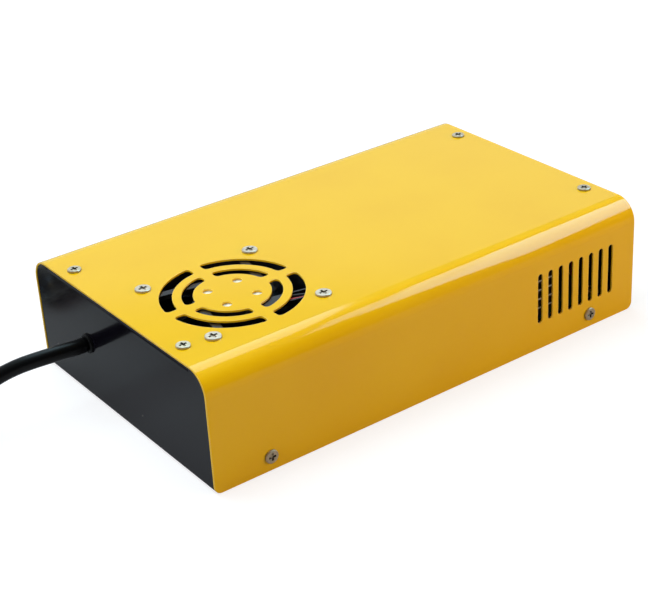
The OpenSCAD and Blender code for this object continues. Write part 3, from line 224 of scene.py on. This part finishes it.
def tube(name, line, radius, sides):
    """A round cable along a line of points, closed at both ends."""
    corners = []
    faces = []
    side = Vector((0, 0, 1))
    for i, point in enumerate(line):
        ahead = (line[min(i + 1, len(line) - 1)] - line[max(i - 1, 0)]).normalized()
        side = (side - ahead * side.dot(ahead)).normalized()
        across = ahead.cross(side)
        for k in range(sides):
            turn = 2 * math.pi * k / sides
            corners.append(point + radius * (math.cos(turn) * side + math.sin(turn) * across))
    for i in range(len(line) - 1):
        for k in range(sides):
            after = (k + 1) % sides
            row, above = i * sides, (i + 1) * sides
            faces.append((row + k, row + after, above + after, above + k))
    faces.append(tuple(reversed(range(sides))))
    faces.append(tuple(range(len(corners) - sides, len(corners))))
    return mesh_piece(name, corners, faces)


lead_route = [Vector(LEAD_EXIT)]
lead_route += [Vector((x, LEAD_EXIT[1] + lean, z)) for x, lean, z in FALL_ROUTE]
steps = int(COIL_TURNS * POINTS_PER_TURN)
lead_route += [coil_point(360 * i / POINTS_PER_TURN) for i in range(steps + 1)]
lead_route += [Vector((x, COIL_AT.y + COIL_OUTER_R, COIL_UPPER_Z)) for x in END_ROUTE]
lead_line = smooth_line(lead_route, LEAD_PARTS)

lead = tube("output_lead", lead_line, LEAD_D / 2, LEAD_SIDES)
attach(lead, "case")
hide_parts("output_cable", "output_cable_coil")


# Finishes

def powder_coated_steel(name, face, deep, edge_glint, roughness, shine, speck=None):
    """Sheet steel sprayed with powder and baked: a fine orange peel under an even gloss, a
    little deeper where the coat runs thick, and a painted highlight: a paler line along its
    edges."""
    material, tree, place = new_finish(name)
    peel_mm = 1.6
    peel_depth = 0.006 * MM
    cloud_mm = 38
    edge_r = 0.3 * MM
    # How well the rounded and the flat normals agree where the painted edge highlight starts, and
    # where it is palest
    edge_glint_from, edge_glint_full = 0.995, 0.85
    # The cloud's values from which the coat grows deeper, and where it is deepest
    deep_from, deep_full = 0.35, 0.75
    peel = add_node(tree, "ShaderNodeTexNoise", {"Scale": per_metre(peel_mm), "Detail": 1.5},
                    {"Vector": place})
    cloud = add_node(tree, "ShaderNodeTexNoise", {"Scale": per_metre(cloud_mm), "Detail": 2},
                     {"Vector": place})
    rounded = add_node(tree, "ShaderNodeBevel", {"Radius": edge_r}, samples=6)
    facing = add_node(tree, "ShaderNodeNewGeometry").outputs["Normal"]
    agree = add_node(tree, "ShaderNodeVectorMath", links={0: rounded.outputs[0], 1: facing},
                     operation="DOT_PRODUCT")
    edge_glint_mask = add_node(tree, "ShaderNodeMapRange", {"From Min": edge_glint_from, "From Max": edge_glint_full},
                    {"Value": agree.outputs["Value"]})
    thick = add_node(tree, "ShaderNodeMapRange", {"From Min": deep_from, "From Max": deep_full},
                     {"Value": cloud.outputs["Fac"]})
    coat = add_node(tree, "ShaderNodeMix", {"A": colour(face), "B": colour(deep)},
                    {"Factor": thick.outputs["Result"]}, data_type="RGBA").outputs["Result"]
    if speck:
        # A few grains of dust lie on the gloss, one to a cell. A grain fades out over its rim
        cell_mm = 13
        grain_rim, grain_core = 0.03, 0.015
        grains = add_node(tree, "ShaderNodeTexVoronoi", {"Scale": per_metre(cell_mm)},
                          {"Vector": place})
        grain = add_node(tree, "ShaderNodeMapRange",
                         {"From Min": grain_rim, "From Max": grain_core},
                         {"Value": grains.outputs["Distance"]})
        coat = add_node(tree, "ShaderNodeMix", {"B": colour(speck)},
                        {"Factor": grain.outputs["Result"], "A": coat},
                        data_type="RGBA").outputs["Result"]
    # Painted highlight: a paler line along every edge
    edge_glinted = add_node(tree, "ShaderNodeMix", {"B": colour(edge_glint)},
                      {"Factor": edge_glint_mask.outputs["Result"], "A": coat}, data_type="RGBA")
    bump = add_node(tree, "ShaderNodeBump", {"Strength": 0.5, "Distance": peel_depth},
                    {"Height": peel.outputs["Fac"], "Normal": rounded.outputs[0]})
    finish_with(tree, {"Roughness": roughness, "IOR": 1.5, "Specular IOR Level": shine},
                {"Base Color": edge_glinted.outputs["Result"], "Normal": bump.outputs["Normal"]})
    return material


def plated_metal(name, tint, roughness, mottle_mm, recess_shade="2A2826"):
    """Zinc or nickel plate, or uncoated bronze: bright metal with a faint cloudiness, and
    painted shade that darkens it in its recesses."""
    material, tree, place = new_finish(name)
    edge_r = 0.15 * MM
    recess_mm = 1.2
    metal_share = 0.85
    # Shares of the roughness where the cloud is clear and where it is thick
    sleek, cloudy = 0.7, 1.4
    # The tint's brightness at the cloud's lower and upper values
    cloud_low, cloud_high = 0.3, 0.7
    dull, bright = 0.8, 1.1
    # How open a place is where the painted shade starts to give way, and where it is gone
    shade_full_below, shade_gone_above = 0.35, 0.8
    cloud = add_node(tree, "ShaderNodeTexNoise", {"Scale": per_metre(mottle_mm), "Detail": 4},
                     {"Vector": place})
    shine = add_node(tree, "ShaderNodeMapRange",
                     {"To Min": roughness * sleek, "To Max": roughness * cloudy},
                     {"Value": cloud.outputs["Fac"]})
    lift = add_node(tree, "ShaderNodeMapRange",
                    {"From Min": cloud_low, "From Max": cloud_high,
                     "To Min": dull, "To Max": bright},
                    {"Value": cloud.outputs["Fac"]})
    toned = add_node(tree, "ShaderNodeHueSaturation", {"Color": colour(tint)},
                     {"Value": lift.outputs["Result"]})
    rounded = add_node(tree, "ShaderNodeBevel", {"Radius": edge_r}, samples=4)
    # Painted shade: the metal darkens in its recesses
    open_sky = add_node(tree, "ShaderNodeAmbientOcclusion", {"Distance": recess_mm * MM},
                        samples=8)
    lit_look = add_node(tree, "ShaderNodeMapRange", {"From Min": shade_full_below, "From Max": shade_gone_above},
                    {"Value": open_sky.outputs["AO"]})
    recess_shaded = add_node(tree, "ShaderNodeMix", {"A": colour(recess_shade)},
                       {"Factor": lit_look.outputs["Result"], "B": toned.outputs["Color"]},
                       data_type="RGBA")
    finish_with(tree, {"Metallic": metal_share},
                {"Base Color": recess_shaded.outputs["Result"], "Roughness": shine.outputs["Result"],
                 "Normal": rounded.outputs[0]})
    return material


def moulded(name, tint, roughness, grain_mm, grain_depth_mm=0.01, shine=0.5):
    """Moulded, extruded, pressed, painted or woven material with a fine grain."""
    material, tree, place = new_finish(name)
    edge_r = 0.2 * MM
    # The tint's brightness at the grain's two ends
    dull, bright = 0.88, 1.12
    grain = add_node(tree, "ShaderNodeTexNoise", {"Scale": per_metre(grain_mm), "Detail": 3},
                     {"Vector": place})
    lift = add_node(tree, "ShaderNodeMapRange", {"To Min": dull, "To Max": bright},
                    {"Value": grain.outputs["Fac"]})
    toned = add_node(tree, "ShaderNodeHueSaturation", {"Color": colour(tint)},
                     {"Value": lift.outputs["Result"]})
    rounded = add_node(tree, "ShaderNodeBevel", {"Radius": edge_r}, samples=4)
    bump = add_node(tree, "ShaderNodeBump",
                    {"Strength": 0.5, "Distance": grain_depth_mm * MM},
                    {"Height": grain.outputs["Fac"], "Normal": rounded.outputs[0]})
    finish_with(tree, {"Roughness": roughness, "IOR": 1.5, "Specular IOR Level": shine},
                {"Base Color": toned.outputs["Color"], "Normal": bump.outputs["Normal"]})
    return material


def ribbed(name, tint, shade, roughness, metallic, step_mm, direction, depth_mm):
    """Wound wire or stacked laminations: lines that run round or along."""
    material, tree, place = new_finish(name)
    lines = add_node(tree, "ShaderNodeTexWave",
                     {"Scale": wave_scale(step_mm), "Distortion": 0.4, "Detail": 1},
                     {"Vector": place}, wave_type="BANDS", bands_direction=direction)
    mixed = add_node(tree, "ShaderNodeMix", {"A": colour(shade), "B": colour(tint)},
                     {"Factor": lines.outputs["Fac"]}, data_type="RGBA")
    bump = add_node(tree, "ShaderNodeBump", {"Strength": 0.6, "Distance": depth_mm * MM},
                    {"Height": lines.outputs["Fac"]})
    finish_with(tree, {"Roughness": roughness, "Metallic": metallic},
                {"Base Color": mixed.outputs["Result"], "Normal": bump.outputs["Normal"]})
    return material


def anodised_bar(name, oxide, lit_look, roughness, step_mm):
    """A finned bar, anodised: faint die lines along it, and a white painted highlight on its
    fins' edges.
    """
    material, tree, place = new_finish(name)
    # Where the fins' tips lie, how deep their painted highlight reaches, and the rows the fins
    # stand in
    tip_from_middle = 59.25 * MM
    tip_glint_depth = 0.5 * MM
    tip_glint_from = tip_from_middle - tip_glint_depth
    tip_glint_full = tip_from_middle - tip_glint_depth / 2
    fin_z = 14.65 * MM
    fin_pitch = 4.1 * MM
    # The painted highlight in a row starts at this share of the pitch, and is full from the
    # second
    edge_from, edge_full = 0.13, 0.18
    lines_depth = 0.01 * MM
    lines = add_node(tree, "ShaderNodeTexWave",
                     {"Scale": wave_scale(step_mm), "Distortion": 0.3, "Detail": 1},
                     {"Vector": place}, wave_type="BANDS", bands_direction="Z")
    parts = add_node(tree, "ShaderNodeSeparateXYZ", links={0: place}).outputs
    out = add_node(tree, "ShaderNodeMath", links={0: parts["Y"]}, operation="ABSOLUTE")
    # Painted highlight: white along the fins' tips
    tip = add_node(tree, "ShaderNodeMapRange", {"From Min": tip_glint_from, "From Max": tip_glint_full},
                   {"Value": out.outputs[0]})
    rows = add_node(tree, "ShaderNodeMath", {1: 1 / fin_pitch, 2: -fin_z / fin_pitch},
                    {0: parts["Z"]}, operation="MULTIPLY_ADD")
    row = add_node(tree, "ShaderNodeMath", links={0: rows.outputs[0]}, operation="FRACT")
    upper = add_node(tree, "ShaderNodeMapRange", {"From Min": edge_from, "From Max": edge_full},
                     {"Value": row.outputs[0]})
    tip_glint_mask = add_node(tree, "ShaderNodeMath",
                    links={0: tip.outputs["Result"], 1: upper.outputs["Result"]},
                    operation="MULTIPLY")
    mixed = add_node(tree, "ShaderNodeMix", {"A": colour(oxide), "B": colour(lit_look)},
                     {"Factor": tip_glint_mask.outputs[0]}, data_type="RGBA")
    bump = add_node(tree, "ShaderNodeBump", {"Strength": 0.6, "Distance": lines_depth},
                    {"Height": lines.outputs["Fac"]})
    finish_with(tree, {"Roughness": roughness, "Metallic": 0.3},
                {"Base Color": mixed.outputs["Result"], "Normal": bump.outputs["Normal"]})
    return material


# Polyester powder coat in traffic yellow, gloss: an even warm yellow with crisp highlights, and a
# pale painted highlight along its edges
yellow_coat = powder_coated_steel("powder_coat_yellow", face="ECBE0A", deep="E9B907",
                                  edge_glint="F4D27A", roughness=0.08, shine=0.42)
# Epoxy powder coat in jet black, full gloss: dark and smooth enough to mirror lead and table,
# with a grey painted highlight along its edges
black_coat = powder_coated_steel("powder_coat_black", face="0C0B12", deep="0A0910",
                                 edge_glint="2E2E36", roughness=0.11, shine=0.24, speck="6E6E6A")

# Each line from here gives a name, a tint, a roughness and the size of the grain or cloud in
# millimetres. Some add the grain's depth in millimetres, a shine or the colour of the painted
# shade in recesses

# Zinc plate, passivated clear: pale, slightly warm metal that has lost its first mirror
zinc_plate = plated_metal("zinc_plated_steel", "D8C9B0", 0.34, 1.0)
# Nickel plate on the fan's steel screws: pale and warm, with a lighter painted shade in their
# crosses
screw_nickel = plated_metal("nickel_plated_steel", "DBC9B5", 0.36, 1.2, recess_shade="7C7260")
# Nickel plate on brass: greyer and smoother than the zinc
nickel_plate = plated_metal("nickel_plated_brass", "C6C1B6", 0.2, 2.5)
# Nickel plate on the plug's die casting, satin from its barrel polish
plug_plate = plated_metal("nickel_plated_zinc_casting", "B9B7B1", 0.26, 1.8)
# Sintered bronze soaked in oil: brown, dull and slightly wet
oiled_bronze = plated_metal("sintered_bronze", "9A6A3A", 0.42, 0.5)
# Glass-filled PBT of the fan, moulded smooth: blue-black with a clear gloss
fan_plastic = moulded("moulded_pbt_black", "14151A", 0.2, 2.4, 0.004)
# Matt coated label paper: bare and nearly white
label_paper = moulded("label_paper_white", "F2F2EE", 0.55, 0.8, 0.004)
# Fibre-reinforced nylon of the mains inlet: black with a dull fine grain
inlet_nylon = moulded("moulded_nylon_black", "141416", 0.46, 0.5)
# Unfilled nylon of the fan's connector: ivory, a little waxy
ivory_nylon = moulded("moulded_nylon_ivory", "E4DCC4", 0.42, 0.7)
# Soft rubber of the grommet: black with hardly any shine
grommet_rubber = moulded("moulded_rubber_black", "0A0A0B", 0.5, 0.4, shine=0.2)
# Plasticised PVC jacket of the output lead: black with a soft grey sheen
lead_jacket = moulded("extruded_pvc_jacket_black", "070708", 0.33, 0.9, 0.006, shine=0.27)
# Epoxy moulding compound of the semiconductors: charcoal with a dry face
epoxy_compound = moulded("epoxy_compound_black", "1C1C1E", 0.6, 0.3)
# Phenolic resin of the transformer's bobbin: black-brown with a low gloss
bobbin_resin = moulded("phenolic_resin_black", "211C1A", 0.48, 0.5)
# Manganese-zinc ferrite, pressed and fired: dark grey stone
fired_ferrite = moulded("fired_ferrite", "35353A", 0.62, 0.35)
# Epoxy paint over the mains choke's ferrite ring: green enamel
green_core = moulded("painted_ferrite_green", "3C7A4B", 0.4, 0.6)
# Epoxy paint over the output inductor's iron powder ring: yellow enamel
yellow_core = moulded("painted_iron_powder_yellow", "D9B93A", 0.42, 0.6)
# Shrink sleeve of the capacitors: thin tight PVC with a high gloss
dark_sleeve = moulded("shrink_sleeve_black", "15161C", 0.22, 3)
blue_sleeve = moulded("shrink_sleeve_blue", "1F3F86", 0.22, 3)
# Moulded PBT of the film capacitor's box and of the trimmers: fine-grained and satin
yellow_case = moulded("moulded_pbt_yellow", "D8B02C", 0.45, 0.6)
blue_case = moulded("moulded_pbt_blue", "2454A6", 0.4, 0.6)
# Polyester tape over the transformer's winding: yellow and shiny
yellow_tape = moulded("polyester_tape_yellow", "E3B72B", 0.2, 4)
# Polyester film under the board: amber and smooth
amber_film = moulded("polyester_film_amber", "B98A3C", 0.24, 3)
# Plasticised PVC of the hook-up wires: full colours with a soft gloss
red_pvc = moulded("extruded_pvc_red", "B3202A", 0.3, 0.9)
black_pvc = moulded("extruded_pvc_black", "2A2B2E", 0.3, 0.9)
brown_pvc = moulded("extruded_pvc_brown", "6A3B22", 0.35, 0.9)
blue_pvc = moulded("extruded_pvc_blue", "2557A8", 0.35, 0.9)
green_pvc = moulded("extruded_pvc_green", "3E8F45", 0.35, 0.9)
# Glass-fibre board under solder mask: deep green with a resin gloss
green_mask = moulded("solder_mask_green", "174A30", 0.3, 0.5)
# Glass-filled PBT of the plug's insert: black and dull
insert_plastic = moulded("moulded_pbt_insert_black", "1A1A1C", 0.45, 0.5)
# Diffused epoxy of the status lights, unlit: deep red and shiny
red_lens = moulded("diffused_epoxy_red", "B01E1E", 0.15, 1.2)
# Glass tube of the fuse in its moulded sleeve: dark brown and shiny
fuse_sleeve = moulded("fuse_sleeve_brown", "3A2418", 0.24, 1.5)
# Woven nylon of the coil's hook-and-loop strap: black with a coarse dull weave
strap_weave = moulded("woven_nylon_strap", "1B1B1D", 0.85, 0.5, 0.12)

# Extruded aluminium, dark anodised, with a white painted highlight on the fin tips
finned_aluminium = anodised_bar("anodised_aluminium", oxide="2B2C2F", lit_look="FFFFFF",
                                roughness=0.35, step_mm=0.8)
# Silicon steel laminations seen edge on: grey, with darker bands through the stack
laminations = ribbed("silicon_steel_laminations", tint="75777C", shade="45464A",
                     roughness=0.45, metallic=1.0, step_mm=0.5, direction="Z", depth_mm=0.05)
# Enamelled copper wire, layer on layer: red-brown with bright bands across the winding
enamelled_copper = ribbed("enamelled_copper_wire", tint="B9622E", shade="6E3418",
                          roughness=0.3, metallic=1.0, step_mm=0.6, direction="X",
                          depth_mm=0.15)

dress(yellow_coat, "lid")
dress(black_coat, "base_tray")
dress(zinc_plate, "clinch_nuts", "lid_screws", "side_screws", "hex_nuts",
      "board_standoffs", "board_screws", "device_screws", "inlet_screws", "fan_shaft")
dress(screw_nickel, "fan_screws")
dress(fan_plastic, "fan_frame", "fan_impeller")
dress(label_paper, "fan_label")
dress(oiled_bronze, "fan_bearing")
dress(laminations, "fan_stator")
dress(enamelled_copper, "fan_windings", "choke_windings", "inductor_winding")
dress(green_mask, "fan_drive_board", "circuit_board")
dress(fired_ferrite, "fan_magnet", "transformer_core")
dress(red_pvc, "fan_lead_red", "output_wire_red")
dress(black_pvc, "fan_lead_black", "output_wire_black")
dress(brown_pvc, "live_wire")
dress(blue_pvc, "neutral_wire")
dress(green_pvc, "earth_wire")
dress(ivory_nylon, "fan_connector")
dress(amber_film, "insulating_sheet")
dress(finned_aluminium, "heatsink_front", "heatsink_rear")
dress(epoxy_compound, "power_transistors", "output_diodes", "bridge_rectifier",
      "controller_chip")
dress(bobbin_resin, "transformer_bobbin")
dress(yellow_tape, "transformer_winding")
dress(green_core, "choke_core")
dress(yellow_core, "inductor_core")
dress(dark_sleeve, "bulk_capacitors")
dress(blue_sleeve, "output_capacitors")
dress(yellow_case, "film_capacitor")
dress(blue_case, "trimmers")
dress(fuse_sleeve, "fuse")
dress(nickel_plate, "inlet_pins")
dress(inlet_nylon, "ac_inlet")
dress(red_lens, "status_lights")
dress(grommet_rubber, "cable_grommet")
dress(lead_jacket, "cable_tail")
dress(strap_weave, "coil_tie")
dress(plug_plate, "plug_shell", "plug_coupling_ring")
dress(insert_plastic, "plug_insert")
lead.data.materials.append(lead_jacket)


# Floor, light and world

FLOOR_SIDE = 40
# The floor glows a little less near the object, where its shadow has to show, and fades into
# plain white between these distances from its middle
GLOW_AT_OBJECT = 0.74
SHADE_NEAR = 0.55
SHADE_FAR = 1.6
# The share of that glow that gloss mirrors
GLOW_IN_GLOSS = 0.1

# The overhead lamp and the sheet in its place
OVERHEAD_AT = (-0.14, 0.55, 1.25)
OVERHEAD_BACK = (-0.1, 0.4, 1)
OVERHEAD_SIDE = 1.2

# The side sheets stand in one upright plane off the case's right end. For each: its middle's y
# and z, its width and height, and its watts
SIDE_SHEETS_X = 0.3
SIDE_SHEETS = {
    "side_sheet_low": (-0.18, 0.31, 0.35, 0.22, 1.65),
    "side_sheet_middle": (-0.183, 0.475, 0.325, 0.11, 0.61),
    "side_sheet_high": (-0.195, 0.59, 0.23, 0.12, 0.33),
}


def floor_sheet():
    """A plain pale floor that goes white to the camera and keeps the object's shadow."""
    material, tree, place = new_finish("studio_paper_white")
    rays = add_node(tree, "ShaderNodeLightPath")
    mirrored = add_node(tree, "ShaderNodeMath",
                        links={0: rays.outputs["Is Glossy Ray"],
                               1: rays.outputs["Is Transmission Ray"]}, operation="MAXIMUM")
    seen = add_node(tree, "ShaderNodeMath", {1: GLOW_IN_GLOSS},
                    {0: mirrored.outputs[0], 2: rays.outputs["Is Camera Ray"]},
                    operation="MULTIPLY_ADD")
    away = add_node(tree, "ShaderNodeVectorMath", links={0: place}, operation="LENGTH")
    white = add_node(tree, "ShaderNodeMapRange",
                     {"From Min": SHADE_NEAR, "From Max": SHADE_FAR,
                      "To Min": GLOW_AT_OBJECT, "To Max": 1},
                     {"Value": away.outputs["Value"]}, interpolation_type="SMOOTHSTEP")
    lift = add_node(tree, "ShaderNodeMath",
                    links={0: seen.outputs[0], 1: white.outputs["Result"]}, operation="MULTIPLY")
    paper = add_node(tree, "ShaderNodeBsdfDiffuse", {"Color": colour("9A9AA6")})
    glow = add_node(tree, "ShaderNodeEmission", {"Color": (1, 1, 1, 1)},
                    {"Strength": lift.outputs[0]})
    both = add_node(tree, "ShaderNodeAddShader", links={0: paper.outputs[0], 1: glow.outputs[0]})
    add_node(tree, "ShaderNodeOutputMaterial", links={"Surface": both.outputs[0]})
    half = FLOOR_SIDE / 2
    corners = [(-half, -half, 0), (half, -half, 0), (half, half, 0), (-half, half, 0)]
    mesh_piece("floor", corners, [(0, 1, 2, 3)], material)


def softbox(name, at, outward, width, height, watts, tint="FFFFFF", turn=0, lights=True,
            mirrored=True):
    """A soft rectangular lamp whose back looks outward, turned about that line in degrees. It
    may light matt surfaces, show in gloss, or do both."""
    lamp = bpy.data.lights.new(name, "AREA")
    lamp.shape = "RECTANGLE"
    lamp.size = width
    lamp.size_y = height
    lamp.energy = watts
    lamp.color = colour(tint)[:3]
    piece = bpy.data.objects.new(name, lamp)
    piece.location = at
    piece.rotation_mode = "QUATERNION"
    facing = Vector(outward).to_track_quat("Z", "Y").to_matrix()
    piece.rotation_quaternion = (
        facing @ Matrix.Rotation(math.radians(turn), 3, "Z")).to_quaternion()
    piece.visible_camera = False
    piece.visible_diffuse = lights
    piece.visible_glossy = mirrored
    scene.collection.objects.link(piece)


def studio_world():
    """White to the camera; to gloss, cool white paper behind the object that falls off to a
    dim studio overhead and in front; to everything else, an even warm fill."""
    # The way from the object to the paper, and the rise up to which the paper is whole, and at
    # which it ends, both as sines
    paper_way = (0.45, 0.89, 0)
    paper_whole_up_to, paper_ends_at = 0.45, 0.475
    # How far a direction points that way, as a cosine, where the paper starts and is whole
    paper_from, paper_whole_from = -0.2, 0.45
    # The same for the dim studio, and its brightness at the front and behind
    front_way, behind_way = -0.4, 0.3
    front_light, behind_light = 0.05, 0.44
    world = bpy.data.worlds.new("studio")
    scene.world = world
    world.use_nodes = True
    tree = world.node_tree
    tree.nodes.clear()
    rays = add_node(tree, "ShaderNodeLightPath")
    way = add_node(tree, "ShaderNodeTexCoord").outputs["Generated"]
    height = add_node(tree, "ShaderNodeSeparateXYZ", links={0: way}).outputs["Z"]
    behind = add_node(tree, "ShaderNodeVectorMath", {1: paper_way}, {0: way},
                      operation="DOT_PRODUCT").outputs["Value"]
    low = add_node(tree, "ShaderNodeMapRange",
                   {"From Min": paper_ends_at, "From Max": paper_whole_up_to},
                   {"Value": height}, interpolation_type="SMOOTHSTEP").outputs["Result"]
    back = add_node(tree, "ShaderNodeMapRange",
                    {"From Min": paper_from, "From Max": paper_whole_from},
                    {"Value": behind}, interpolation_type="SMOOTHSTEP").outputs["Result"]
    paper = add_node(tree, "ShaderNodeMath", links={0: low, 1: back}, operation="MULTIPLY")
    dim = add_node(tree, "ShaderNodeMapRange",
                   {"From Min": front_way, "From Max": behind_way,
                    "To Min": front_light, "To Max": behind_light},
                   {"Value": behind}, interpolation_type="SMOOTHSTEP")
    seen = add_node(tree, "ShaderNodeMapRange", {"To Max": 1.0},
                    {"Value": paper.outputs[0], "To Min": dim.outputs["Result"]})
    gloss = add_node(tree, "ShaderNodeMath",
                     links={0: rays.outputs["Is Glossy Ray"],
                            1: rays.outputs["Is Transmission Ray"]}, operation="MAXIMUM")
    fill = add_node(tree, "ShaderNodeBackground", {"Color": colour("FFEBD2"), "Strength": 0.3})
    mirrored = add_node(tree, "ShaderNodeBackground", {"Color": colour("E2E9F2")},
                        {"Strength": seen.outputs["Result"]})
    white = add_node(tree, "ShaderNodeBackground", {"Color": (1, 1, 1, 1), "Strength": 1.0})
    lit = add_node(tree, "ShaderNodeMixShader",
                   links={0: gloss.outputs[0], 1: fill.outputs[0], 2: mirrored.outputs[0]})
    shown = add_node(tree, "ShaderNodeMixShader",
                     links={0: rays.outputs["Is Camera Ray"], 1: lit.outputs[0],
                            2: white.outputs[0]})
    add_node(tree, "ShaderNodeOutputWorld", links={"Surface": shown.outputs[0]})


floor_sheet()
# Three lamps light the case and don't show in its gloss: over and behind its top, off its
# front right corner and off its left end
softbox("overhead", at=OVERHEAD_AT, outward=OVERHEAD_BACK, width=OVERHEAD_SIDE,
        height=OVERHEAD_SIDE, watts=19.7, tint="E6FFF6", mirrored=False)
softbox("front", at=(0.6, -0.64, 0.25), outward=(0.75, -0.8, 0.25), width=0.5, height=0.4,
        watts=4.4, tint="FFDEA4", mirrored=False)
softbox("left", at=(-1.1, -0.1, 0.45), outward=(-0.93, -0.05, 0.36), width=0.6, height=0.6,
        watts=5, mirrored=False)
# Sheets show in gloss alone. Cool ones beside and behind the case draw the streaks along its
# bend, and a dimmer warm white one in the overhead lamp's place brightens screws and plug
for sheet, (y, z, width, height, watts) in SIDE_SHEETS.items():
    softbox(sheet, (SIDE_SHEETS_X, y, z), (1, 0, 0), width, height, watts, "90D4FF",
            lights=False)
softbox("overhead_sheet", at=OVERHEAD_AT, outward=OVERHEAD_BACK, width=OVERHEAD_SIDE,
        height=OVERHEAD_SIDE, watts=7.5, tint="FFFAF0", lights=False)
softbox("rear_sheet", at=(0.325, 0.53, 0.8), outward=(0, 0, 1), width=0.39, height=0.95,
        watts=3.5, tint="C7F0FF", turn=-20, lights=False)
studio_world()

scene.view_settings.view_transform = "Standard"
